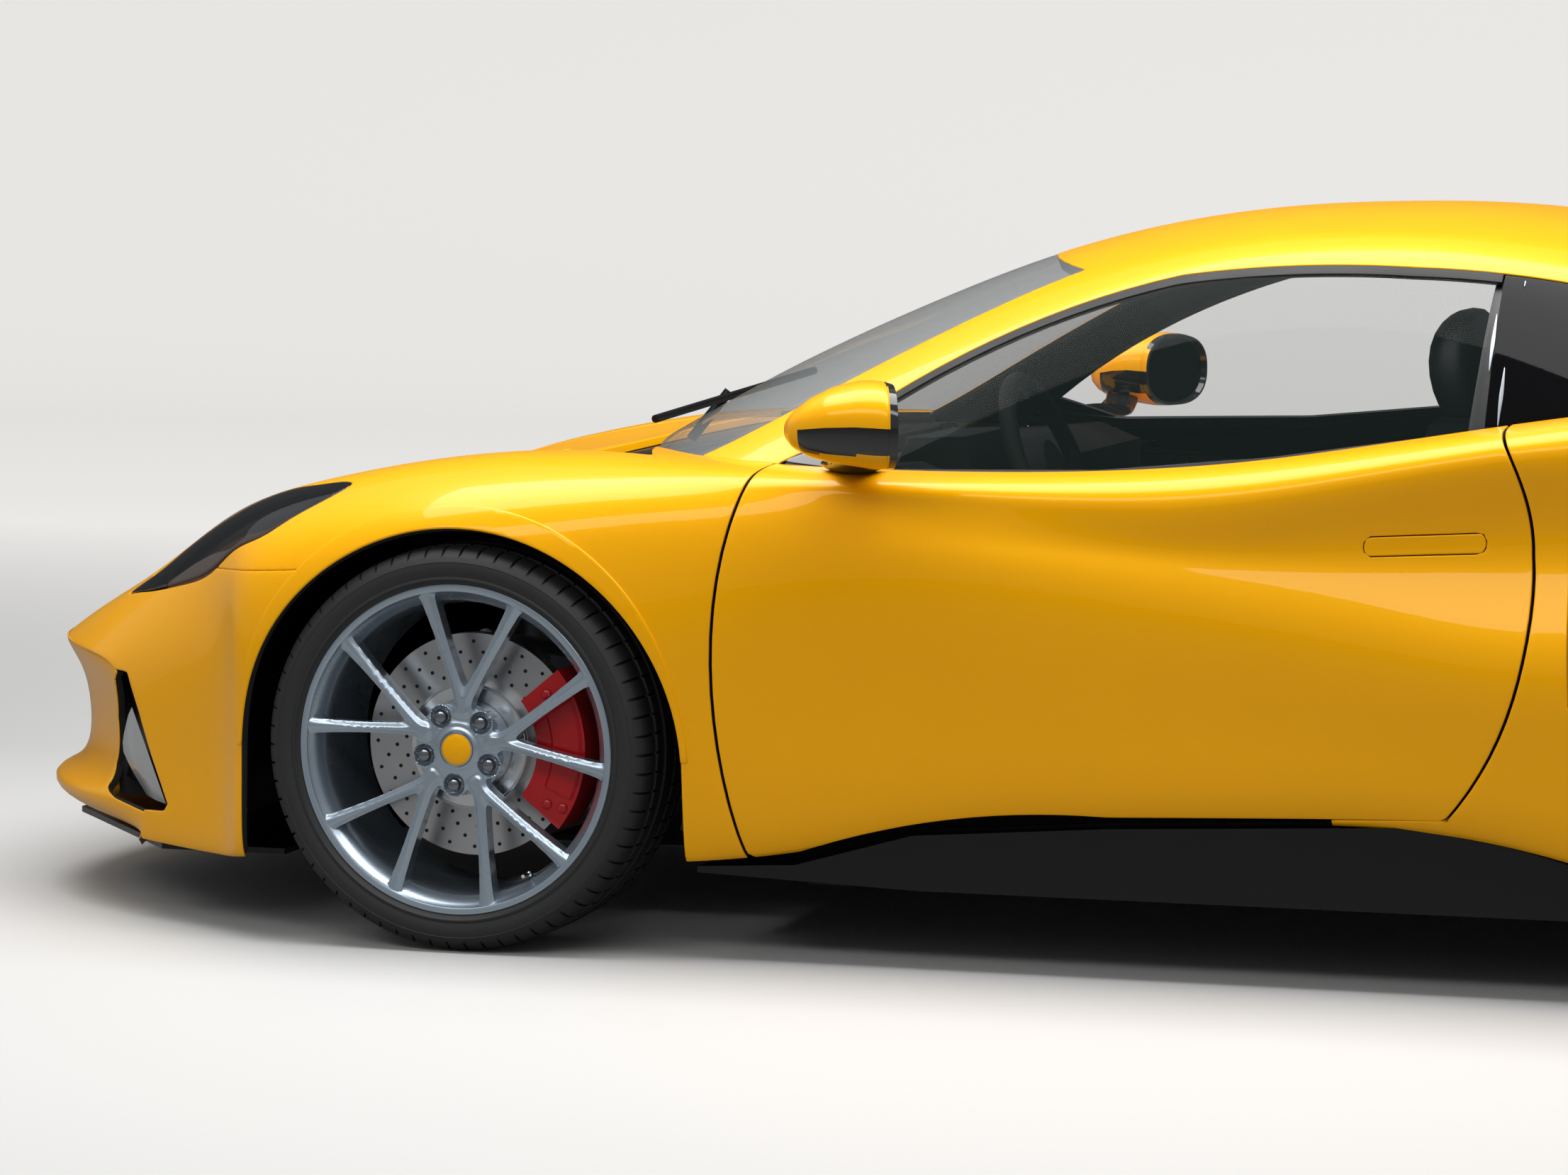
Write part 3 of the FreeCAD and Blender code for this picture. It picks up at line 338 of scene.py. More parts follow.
def polygon_distance(points, outline):
    """Signed distance of plane points to a closed outline, negative inside; points far off get FAR."""
    low, high = outline.min(axis=0) - FAR, outline.max(axis=0) + FAR
    near = ((points >= low) & (points <= high)).all(axis=1)
    distances = np.full(len(points), FAR)
    points = points[near]
    best = np.full(len(points), 1e9)
    inside = np.zeros(len(points), bool)
    for (ax, ay), (bx, by) in zip(outline, np.roll(outline, -1, axis=0)):
        ex, ey = bx - ax, by - ay
        px, py = points[:, 0] - ax, points[:, 1] - ay
        t = np.clip((px * ex + py * ey) / max(ex * ex + ey * ey, 1e-18), 0, 1)
        best = np.minimum(best, np.hypot(px - t * ex, py - t * ey))
        crossing = (ay > points[:, 1]) != (by > points[:, 1])
        if by != ay:
            inside ^= crossing & (points[:, 0] < ex * (points[:, 1] - ay) / (by - ay) + ax)
    distances[near] = np.where(inside, -best, best)
    return distances


PLANES = {"side": (0, 2), "plan": (0, 1), "front": (1, 2)}


def within(outline, plane="side", gap=0.0):
    """Keeps what lies inside an outline by at least a gap; all in millimetres."""
    shape = bent(outline) * MM
    axes = PLANES[plane]
    return lambda points: polygon_distance(points[:, axes], shape) + gap * MM


def outside(outline, plane="side", gap=0.0):
    """Keeps what lies outside an outline by at least a gap; all in millimetres."""
    shape = bent(outline) * MM
    axes = PLANES[plane]
    return lambda points: gap * MM - polygon_distance(points[:, axes], shape)


def beyond(tree, gap=0.0, floor=-1.0):
    """Keeps what lies outside another surface by at least a gap, and everything below a floor."""
    seen = tree[1]

    def field(points):
        values = np.full(len(points), -0.1)
        for i in np.nonzero(points[:, 2] > floor)[0]:
            key = points[i].round(5).tobytes()
            if key not in seen:
                place = Vector(points[i])
                near, normal, _, _ = tree[0].find_nearest(place)
                seen[key] = (place - near).dot(normal)
            values[i] = gap * MM - seen[key]
        return values
    return field


def limit(axis, value, sign, gap=0.0):
    """Keeps the side of a plane where sign * (coordinate - value) is negative."""
    return lambda points: sign * (points[:, axis] - value * MM) + gap * MM


def clipped(points, normals, faces, values):
    """The mesh cut along the line where the values change sign; the negative side stays."""
    keep = values <= 0
    cut, made = [], {}
    new_points, new_normals = [points], [normals]
    count = len(points)
    for face in faces:
        sides = [keep[i] for i in face]
        if all(sides):
            cut.append(face)
            continue
        if not any(sides):
            continue
        shape = []
        for i, j in zip(face, face[1:] + face[:1]):
            if keep[i]:
                shape.append(i)
            if keep[i] != keep[j]:
                key = (min(i, j), max(i, j))
                if key not in made:
                    t = values[i] / (values[i] - values[j])
                    made[key] = count + len(made)
                    new_points.append(points[i:i + 1] + (points[j] - points[i]) * t)
                    new_normals.append(normals[i:i + 1] + (normals[j] - normals[i]) * t)
                shape.append(made[key])
        if len(shape) > 2:
            cut.append(shape)
    return np.concatenate(new_points), np.concatenate(new_normals), cut


def border_loops(faces):
    """Directed edges that only one face uses, joined into chains."""
    used = {}
    for face in faces:
        for i, j in zip(face, face[1:] + face[:1]):
            used[(i, j)] = True
    following = {i: j for (i, j) in used if (j, i) not in used}
    loops = []
    while following:
        start, j = following.popitem()
        chain = [start, j]
        while j in following:
            j = following.pop(j)
            chain.append(j)
        loops.append(chain)
    return loops


def mesh_object(name, points, faces, finishes, body, indices=None, replaces=None):
    """A finished piece that rides on a body; indices pick each face's finish, and replaces names a node."""
    mesh = bpy.data.meshes.new(name)
    mesh.from_pydata(np.array(points).tolist(), [], faces)
    piece = bpy.data.objects.new(name, mesh)
    bpy.context.collection.objects.link(piece)
    for finish in finishes:
        mesh.materials.append(MATERIALS[finish])
    mesh.polygons.foreach_set("use_smooth", [True] * len(mesh.polygons))
    if indices is not None:
        mesh.polygons.foreach_set("material_index", list(indices))
    mesh.update()
    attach(piece, body)
    if replaces:
        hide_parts(replaces)
    return piece


def deselect():
    """Leaves nothing selected."""
    for piece in bpy.context.selected_objects:
        piece.select_set(False)


def creased(piece, angle):
    """Keeps edges sharper than an angle hard."""
    deselect()
    piece.select_set(True)
    bpy.context.view_layer.objects.active = piece
    bpy.ops.object.shade_smooth_by_angle(angle=math.radians(angle))
    piece.select_set(False)


def trimmed(points, normals, quads, fields):
    """The part of a mesh of quads where every field is negative."""
    quads = np.array(quads)
    inner = np.ones(len(quads), bool)
    for field in fields:
        used = np.unique(quads)
        values = np.full(len(points), 1.0)
        values[used] = field(points[used])
        corners = values[quads]
        near = (corners <= ON_LINE).any(axis=1)
        inner = (inner & (corners <= -ON_LINE).all(axis=1))[near]
        quads = quads[near]
    whole, faces = quads[inner].tolist(), quads[~inner].tolist()
    for field in fields:
        used = np.unique([i for face in faces for i in face]).astype(int)
        values = np.full(len(points), 1.0)
        values[used] = field(points[used])
        values[np.abs(values) < ON_LINE] = -ON_LINE
        points, normals, faces = clipped(points, normals, faces, values)
    faces = whole + faces
    kept = np.unique([i for face in faces for i in face]).astype(int)
    renumbered = np.zeros(len(points), int)
    renumbered[kept] = np.arange(len(kept))
    points, normals = points[kept], normals[kept]
    normals /= np.linalg.norm(normals, axis=1, keepdims=True)
    return points, normals, [renumbered[face].tolist() for face in faces]


def reach(surface, fields, step):
    """Parameters about one step apart, over no more of the surface than the fields keep."""
    us, vs = surface.spaced(FAR / 3, 0), surface.spaced(FAR / 3, 1)
    points = surface.at(us, vs)[0]
    near = np.ones(points.shape[:2], bool)
    for field in fields:
        near[near] = field(points[near]) < FAR / 2
    out = []
    for axis, coarse in enumerate((us, vs)):
        used = np.nonzero(near.any(axis=1 - axis))[0]
        fine = surface.spaced(step, axis)
        low, high = coarse[max(used[0] - 1, 0)], coarse[min(used[-1] + 1, len(coarse) - 1)]
        out.append(fine[(fine >= low - 1e-9) & (fine <= high + 1e-9)])
    return out


def panel(name, surface, fields, finish, body, step, depth, roll=2.0, offset=0.0, flip=False, inner=None,
          closed=False, slot=None, replaces=None):
    """A piece of a surface cut to its fields, with a rolled edge and a return wall.

    depth is the wall's depth under the skin and roll the radius of its edge, in millimetres. inner is the
    finish of the return wall and of the inner skin that closed adds; a dark inner finish on the walls paints
    the shade in the shut gaps and openings round the panel."""
    us, vs = reach(surface, fields, step * MM)
    points, normals = surface.at(us, vs)
    n, m = points.shape[:2]
    points, normals = points.reshape(-1, 3), normals.reshape(-1, 3)
    points = points + normals * offset * MM
    index = np.arange(n * m).reshape(n, m)
    corners = [index[:-1, :-1], index[1:, :-1], index[1:, 1:], index[:-1, 1:]]
    faces = np.stack(corners if not surface.flip else corners[::-1], axis=2).reshape(-1, 4)
    points, normals, faces = trimmed(points, normals, faces, fields)
    if not faces:
        raise RuntimeError("nothing is left of panel " + name)
    points, faces, hidden = with_edges(points, normals, faces, depth * MM, roll * MM, closed)
    if flip:
        faces = [face[::-1] for face in faces]
    # The return walls and the inner skin take the inner finish; a dark one on the walls is painted shade in
    # the gaps.
    indices = [0] * len(faces) + [1 if inner else 0] * len(hidden)
    finishes = [finish, inner] if inner else [finish]
    return mesh_object(name, points, faces + hidden, finishes, body, indices, replaces)


def with_edges(points, normals, faces, depth, roll, closed):
    """Adds a rolled edge along every border, and lists the return walls and, if closed, the inner skin."""
    points, normals = list(points), list(normals)
    walls, hidden = [], []
    count = len(points)
    inner = {}
    for chain in border_loops(faces):
        ring = chain[:-1] if chain[0] == chain[-1] else chain
        size = len(ring)
        looped = chain[0] == chain[-1]
        outward = []
        for k, i in enumerate(ring):
            before = ring[k - 1] if looped or k else i
            after = ring[(k + 1) % size] if looped or k < size - 1 else i
            along = points[after] - points[before]
            away = np.cross(along, normals[i])
            outward.append(away / max(np.linalg.norm(away), 1e-12))
        previous = ring
        for angle in (30, 60, 90, None):
            current = []
            for k, i in enumerate(ring):
                if angle is None:
                    shift = outward[k] * roll - normals[i] * depth
                else:
                    turn = math.radians(angle)
                    shift = outward[k] * roll * math.sin(turn) - normals[i] * roll * (1 - math.cos(turn))
                points.append(points[i] + shift)
                normals.append(normals[i])
                current.append(len(points) - 1)
            for k in range(size if looped else size - 1):
                j = (k + 1) % size
                quad = [previous[k], current[k], current[j], previous[j]]
                (hidden if angle is None else walls).append(quad)
            previous = current
        for k, i in enumerate(ring):
            inner[i] = previous[k]
    if closed:
        twin = {}
        for i in range(count):
            if i in inner:
                twin[i] = inner[i]
            else:
                points.append(points[i] - normals[i] * depth)
                twin[i] = len(points) - 1
        hidden += [[twin[i] for i in reversed(face)] for face in faces]
    return np.array(points), faces + walls, hidden


GLASS_TREE = (surface_tree(GLASS_SURFACE), {})
BODY_TREE = (surface_tree(BODY_SURFACE), {})

# Height in metres below which the glasshouse is buried in the body
BASE_Z = 0.72

# Outlines, in millimetres, as on the solids; those of six numbers are for bowed()
BELT = ((-655, 806), (-453, 802), (-99, 809), (172, 834), (381, 864), (559, 889), (700, 908))
DOOR_FRONT = ((-661, 806), (-717, 500, "via"), (-664, 173))
DOOR_REAR = ((485, 282), (600, 500, "via"), (615, 700), (600, 800, "via"), (559, 892))
DOOR_SILL = ((-583, 177), (-386, 233, "via"), (-64, 257))
WINDOW_TOP = (
    (-600, 832), (-330, 1004, "via"), (-11, 1116), (180, 1133, "via"), (372, 1132), (640, 1106, "via"),
    (900, 1040),
)
PILLAR_X = 512.0
QUARTER_TIP = (1010, 962)
SCREEN = (-880.0, 700.0, -1015.0, -205.0, 480.0, -351.0)
BONNET = (-1800.0, 570.0, -1975.0, -1062.0, 590.0, -1150.0)
BONNET_SKIN = (-1800.0, 570.0, -1975.0, -1062.0, 590.0, -1262.0)
COWL_WELL = (-1062.0, 640.0, -1264.0, -880.0, 712.0, -1015.0)
TAILGATE = (620.0, 410.0, 621.0, 1790.0, 470.0, 1800.0)
REAR_WINDOW = (700.0, 350.0, 690.0, 1300.0, 380.0, 1310.0)
SIDE_INTAKE = ((676, 470), (668, 700), (720, 735), (830, 640), (790, 500))
MOUTH = ((-330, 236), (330, 236), (300, 334), (-300, 334))
NOSE_INTAKE = (
    (-740, 180), (-668, 196), (-628, 214), (-606, 250), (-612, 330), (-648, 400), (-672, 424), (-740, 440),
)
CORNER_INTAKE = (
    (-2000, 424), (-1851, 420), (-1817, 357), (-1785, 286), (-1742, 204), (-1752, 190), (-2000, 176),
)
BUMPER_LINE = ((-2400, 0), (-1400, 0), (-1400, 626), (-1642, 611), (-1850, 558), (-1850, 900), (-2400, 900))
HANDLE = ((352, 690), (346, 706, "via"), (354, 721), (532, 731), (539, 716, "via"), (532, 699))
TAIL_VENT = ((-560, 396), (560, 396), (590, 514), (-590, 514))
TAIL_LAMP = ((-728, 742), (-432, 770), (-432, 800), (-728, 800))
LAMP_STRIP = ((-1790, -640), (-1640, -740), (-1540, -790), (-1400, -760), (-1380, -900), (-1700, -900))


def door_outline(gap):
    """The door's outline, drawn in by a gap."""
    front = [(x + gap, z) + tuple(r) for x, z, *r in DOOR_FRONT]
    rear = [(x - gap, z) + tuple(r) for x, z, *r in DOOR_REAR]
    sill = [(x, z + gap) + tuple(r) for x, z, *r in DOOR_SILL]
    return front + sill + rear + [(556 - gap, 990), (-661 + gap, 990)]


def window_outline(margin):
    """The side windows' common outline, let out by a margin."""
    top = [(x, z + margin) + tuple(r) for x, z, *r in WINDOW_TOP]
    start = (-655 - margin * 2, 806 - margin)
    tip = (QUARTER_TIP[0] + margin * 2, QUARTER_TIP[1] + margin)
    under = [(x, z - margin - 12) for x, z in reversed(BELT)]
    return [start] + top + [tip] + under[:-1]


def bowed(ends, gap=0.0):
    """A plan outline symmetric about the centre line, with bowed ends, drawn in by a gap."""
    x0, y0, mid0, x1, y1, mid1 = ends
    s = math.copysign(1.0, x1 - x0)
    return [
        (x0 + s * gap, -y0 + gap), (mid0 + s * gap, 0, "via"), (x0 + s * gap, y0 - gap),
        (x1 - s * gap, y1 - gap), (mid1 - s * gap, 0, "via"), (x1 - s * gap, -y1 + gap),
    ]


def flipped(outline):
    """The same plan outline on the other side of the car."""
    return [(p[0], -p[1]) + tuple(p[2:]) for p in outline]


def front_flipped(outline):
    """The same front outline on the other side of the car."""
    return [(-p[0],) + tuple(p[1:]) for p in outline]


def rounded(points, parts=6):
    """A closed smooth outline through its points."""
    p = np.array(points, float)
    a, b, c = (np.roll(p, shift, axis=0) for shift in (1, -1, -2))
    steps = []
    for t in np.arange(parts) / parts:
        curve = (2 * a - 5 * p + 4 * b - c) * t**2 + (3 * p - a - 3 * b + c) * t**3
        steps.append(0.5 * (2 * p + (b - a) * t + curve))
    return [tuple(q) for q in np.stack(steps, axis=1).reshape(-1, 2)]


def arch(axle_x, radius, points):
    """Distance to a wheel arch: a circle with straight sides below its centre."""
    x, z = points[:, 0] / MM - axle_x, points[:, 2] / MM - ARCH_Z
    far = np.where(z > 0, np.hypot(x, z), np.abs(x))
    return np.maximum(far - radius, ARCH_INNER_Y - np.abs(points[:, 1]) / MM) * MM


def clear_of_arches(gap):
    """Keeps what lies outside the wheel arches by at least a gap."""
    return lambda points: gap * MM - np.minimum(*(arch(x, radius, points) for _, x, radius in ARCHES))


def arch_band(axle_x, radius, width):
    """Keeps a band of some width round a wheel arch, narrower towards its ends."""
    def field(points):
        x, z = points[:, 0] / MM - axle_x, points[:, 2] / MM - ARCH_Z
        far = np.hypot(x, z) - radius - width * np.clip(z / radius, 0.25, 1.0)
        return np.maximum(far, ARCH_INNER_Y - np.abs(points[:, 1]) / MM) * MM
    return field


HEADLAMP = rounded((
    (-1914, -531), (-1832, -627), (-1724, -718), (-1612, -800), (-1529, -843), (-1466, -829), (-1414, -802),
    (-1393, -774), (-1415, -745), (-1485, -712), (-1560, -662), (-1700, -606), (-1812, -590), (-1880, -546),
))
SIDES = ((limit(1, 0.0, 1), "left"), (limit(1, 0.0, -1), "right"))


# Materials

class Value:
    """A socket in shader maths; its operators add Math nodes."""

    def __init__(self, shader, socket):
        self.shader, self.socket = shader, socket

    def _math(self, operation, other):
        return self.shader.node("ShaderNodeMath", {0: self, 1: other}, operation=operation)

    def __add__(self, other):
        return self._math("ADD", other)

    def __sub__(self, other):
        return self._math("SUBTRACT", other)

    def __mul__(self, other):
        return self._math("MULTIPLY", other)

    def clamp(self, low=0.0, high=1.0):
        return self._math("MAXIMUM", low)._math("MINIMUM", high)


class Shader:
    """A material with its principled shader."""

    def __init__(self, name, color, roughness, metallic=0.0, **settings):
        self.material = bpy.data.materials.new(name)
        self.material.use_nodes = True
        self.material.diffuse_color = (*color, 1.0)
        self.nodes = self.material.node_tree.nodes
        self.links = self.material.node_tree.links
        self.surface = next(n for n in self.nodes if n.type == "BSDF_PRINCIPLED")
        self.color, self.roughness = color, roughness
        self.set("Base Color", (*color, 1.0))
        self.set("Roughness", roughness)
        self.set("Metallic", metallic)
        for key, value in settings.items():
            self.set(key.replace("_", " "), value)

    def feed(self, target, value):
        """Links a socket to a value, or sets it to a number or colour."""
        if isinstance(value, Value):
            self.links.new(value.socket, target)
        else:
            target.default_value = value

    def set(self, socket, value):
        self.feed(self.surface.inputs[socket], value)

    def node(self, kind, sockets=None, output=0, **settings):
        """Adds a node with some of its sockets fed, and gives one of its outputs."""
        made = self.nodes.new(kind)
        for key, value in settings.items():
            setattr(made, key, value)
        for key, value in (sockets or {}).items():
            self.feed(made.inputs[key], value)
        return Value(self, made.outputs[output])

    def grain(self, scale, relief, wear, mottle, cells=False):
        """Fine relief, and patches of rougher and darker surface, from noise in the piece's own frame."""
        place = self.node("ShaderNodeTexCoord", output="Object")
        kind = "ShaderNodeTexVoronoi" if cells else "ShaderNodeTexNoise"
        fine = self.node(kind, {"Vector": place, "Scale": scale, "Detail": 2.0})
        depth = GRAIN_DEPTH / scale
        sockets = {"Height": fine, "Strength": relief, "Distance": depth}
        self.set("Normal", self.node("ShaderNodeBump", sockets))
        cloud = self.node("ShaderNodeTexNoise", {"Vector": place, "Scale": PATCHES_PER_METRE, "Detail": 4.0})
        patches = cloud - 0.5
        self.set("Roughness", (patches * wear + self.roughness).clamp())
        shade = patches * mottle + (fine - 0.5) * (mottle * 0.5) + 1.0
        sockets = {0: self.color, "Scale": shade}
        self.set("Base Color", self.node("ShaderNodeVectorMath", sockets, operation="SCALE"))


# Depth of the grain as a share of its length, and how closely its patches lie
GRAIN_DEPTH = 0.3
PATCHES_PER_METRE = 9.0

# Finishes. Columns: label, colour, roughness, metallic, the grain, and other settings of the shader. The
# grain is its scale per metre, relief, change of roughness and of shade, and whether it comes in cells.
FINISHES = {
    "paint": ("Yellow paint", (0.96, 0.425, 0.0), 0.3, 0, (900, 0.012, 0.05, 0.03),
              {"Coat_Weight": 0.35, "Coat_Roughness": 0.02, "Specular_Tint": (1.0, 0.62, 0.05, 1.0)}),
    "gloss_black": ("Gloss black", (0.012, 0.012, 0.013), 0.12, 0, (700, 0.02, 0.05, 0.1),
                    {"Coat_Weight": 0.5, "Coat_Roughness": 0.05}),
    "satin_black": ("Satin black", (0.008, 0.008, 0.009), 0.35, 0, (900, 0.2, 0.2, 0.2)),
    "deep_black": ("Deep black", (0.003, 0.003, 0.0033), 0.3, 0, (900, 0.15, 0.2, 0.2),
                   {"Specular_IOR_Level": 0.3}),
    "rubber_seal": ("Seal rubber", (0.006, 0.006, 0.006), 0.6, 0, (600, 0.2, 0.2, 0.2)),
    "tyre": ("Tyre rubber", (0.013, 0.013, 0.014), 0.6, 0, (500, 0.3, 0.3, 0.3)),
    "wheel_silver": ("Wheel silver", (0.37, 0.44, 0.51), 0.27, 0.85, (1500, 0.04, 0.12, 0.06),
                     {"Coat_Weight": 0.4, "Coat_Roughness": 0.1}),
    "disc_iron": ("Ground iron", (0.42, 0.42, 0.43), 0.32, 1, (700, 0.12, 0.3, 0.2)),
    "hat_alloy": ("Machined alloy", (0.62, 0.63, 0.65), 0.25, 1, (900, 0.1, 0.3, 0.1)),
    "red_enamel": ("Red enamel", (0.45, 0.003, 0.006), 0.3, 0, (300, 0.06, 0.1, 0.1),
                   {"Coat_Weight": 0.25, "Specular_IOR_Level": 0.3}),
    "chrome": ("Bright chrome", (0.8, 0.8, 0.82), 0.08, 1, (600, 0.02, 0.08, 0.05)),
    "dark_chrome": ("Dark chrome", (0.22, 0.23, 0.25), 0.15, 1, (600, 0.03, 0.1, 0.1)),
    "leather": ("Black leather", (0.014, 0.015, 0.017), 0.45, 0, (380, 0.35, 0.2, 0.2, True)),
    "seat_leather": ("Seat leather", (0.010, 0.0105, 0.012), 0.42, 0, (380, 0.35, 0.2, 0.2, True)),
    "cabin_trim": ("Cabin trim", (0.009, 0.0095, 0.0105), 0.75, 0, (700, 0.3, 0.2, 0.2, True),
                   {"Specular_IOR_Level": 0.3}),
    # Dark lining: a real lining on the inner skins, and painted shade on the return walls in the shut gaps,
    # in the handle recesses and in the disc holes.
    "lining": ("Dark lining and painted shade", (0.008, 0.008, 0.009), 0.9, 0, (600, 0.4, 0.1, 0.3)),
    "alloy": ("Cast alloy", (0.3, 0.3, 0.31), 0.5, 0.7, (350, 0.25, 0.3, 0.15)),
    "casting": ("Dark casting", (0.06, 0.06, 0.062), 0.6, 0.4, (250, 0.35, 0.3, 0.2)),
    "steel": ("Bright steel", (0.55, 0.55, 0.56), 0.3, 1, (800, 0.06, 0.2, 0.1)),
    "red_lens": ("Red lens", (0.35, 0.005, 0.008), 0.1, 0, (220, 0.15, 0.05, 0.2, True),
                 {"Coat_Weight": 1.0}),
    "lamp_black": ("Lamp housing", (0.02, 0.02, 0.025), 0.2, 0, (500, 0.1, 0.15, 0.2), {"Coat_Weight": 0.6}),
    "amber_strip": ("Amber reflector strip", (0.20, 0.10, 0.05), 0.25, 0.3, (260, 0.2, 0.1, 0.2, True)),
    "vane_grey": ("Pale grey vane", (0.42, 0.43, 0.44), 0.2, 0, (700, 0.08, 0.15, 0.06),
                  {"Coat_Weight": 0.5}),
    "bright_trim": ("Bright trim", (0.35, 0.37, 0.4), 0.3, 0.9, (900, 0.06, 0.2, 0.1)),
    "glass": ("Tinted glass", (0.03, 0.05, 0.048), 0.0, 0, (40, 0.003, 0.02, 0.1),
              {"Alpha": 0.16, "Specular_IOR_Level": 0.3}),
    # The windscreen's grey, partly opaque colour paints the reflection of the pale wall in it.
    "screen_glass": ("Windscreen glass with painted reflection", (0.22, 0.235, 0.235), 0.02, 0, (40, 0.003, 0.02, 0.05),
                     {"Alpha": 0.6}),
    "mirror_glass": ("Mirror glass", (0.06, 0.063, 0.066), 0.02, 1, (40, 0.003, 0.02, 0.05)),
    "dark_glass": ("Dark glass", (0.002, 0.002, 0.0025), 0.03, 0, (40, 0.003, 0.03, 0.1),
                   {"Specular_IOR_Level": 0.12}),
    "smoke_lens": ("Smoked lens", (0.015, 0.016, 0.02), 0.02, 0, (60, 0.01, 0.04, 0.1),
                   {"Alpha": 0.55, "Coat_Weight": 1.0, "Coat_Roughness": 0.0}),
}

# The materials themselves, by the names above
MATERIALS = {}

# The finish of each solid, by its slot or, for a few, by its node
CAD_FINISH = {
    "structure": "satin_black", "black_plastic": "deep_black", "lamp_lens": "lamp_black",
    "red_lens": "red_lens", "engine_casting": "casting", "bright_steel": "steel", "black_leather": "leather",
    "arm_alloy": "alloy", "red_enamel": "red_enamel", "tyre_rubber": "tyre", "silver_alloy": "wheel_silver",
    "brake_iron": "disc_iron", "yellow_paint": "paint", "tinted_glass": "glass",
}
NODE_FINISH = {"dashboard": "cabin_trim", "steering_wheel": "cabin_trim", "chassis_tub": "cabin_trim"}


def pale_floor():
    """The floor, paler to the camera than to the light that it throws back, and lit up at its far wall."""
    floor = Shader("Pale floor", (0.5, 0.5, 0.5), 0.6)
    camera = floor.node("ShaderNodeLightPath", output="Is Camera Ray")
    place = floor.node("ShaderNodeNewGeometry", output="Position")
    far = floor.node("ShaderNodeSeparateXYZ", {"Vector": place}, "Y")
    channels = {0: camera * 0.34 + 0.24, 1: camera * 0.335 + 0.24, 2: camera * 0.33 + 0.235}
    floor.set("Base Color", floor.node("ShaderNodeCombineColor", channels))
    behind = floor.node("ShaderNodeNewGeometry", output="Backfacing")
    floor.set("Alpha", behind * -1 + 1)
    floor.set("Emission Color", (1.0, 0.985, 0.955, 1.0))
    floor.set("Emission Strength", camera * ((far - 1.5) * 0.11).clamp(0.0, 0.62))
    return floor.material


def make_materials(look):
    """Makes every finish, with the paint in the user's colour."""
    MATERIALS["floor"] = pale_floor()
    for key, (label, color, roughness, metallic, grain, *settings) in FINISHES.items():
        if key == "paint":
            color = tuple(look.paint)
        shader = Shader(label, color, roughness, metallic, **(settings[0] if settings else {}))
        shader.grain(*grain)
        MATERIALS[key] = shader.material


def dress_solids():
    """Gives every solid that stays in view its finish."""
    slots = {part["node"]: part["material_slot"] for part in frame["record"]["subparts"]}
    for name, solid in frame["nodes"].items():
        for holder in solid.material_slots:
            holder.material = MATERIALS[NODE_FINISH.get(name, CAD_FINISH[slots[name]])]


# Sizes and colours that a user would change

class CoupeLook(bpy.types.PropertyGroup):
    paint: bpy.props.FloatVectorProperty(
        name="Paint", description="Colour of the painted panels", subtype="COLOR", size=3,
        default=FINISHES["paint"][1])
    mesh_step: bpy.props.FloatProperty(
        name="Panel mesh step", description="Length of a facet of the painted panels", default=0.013,
        unit="LENGTH")


# Painted panels and glass

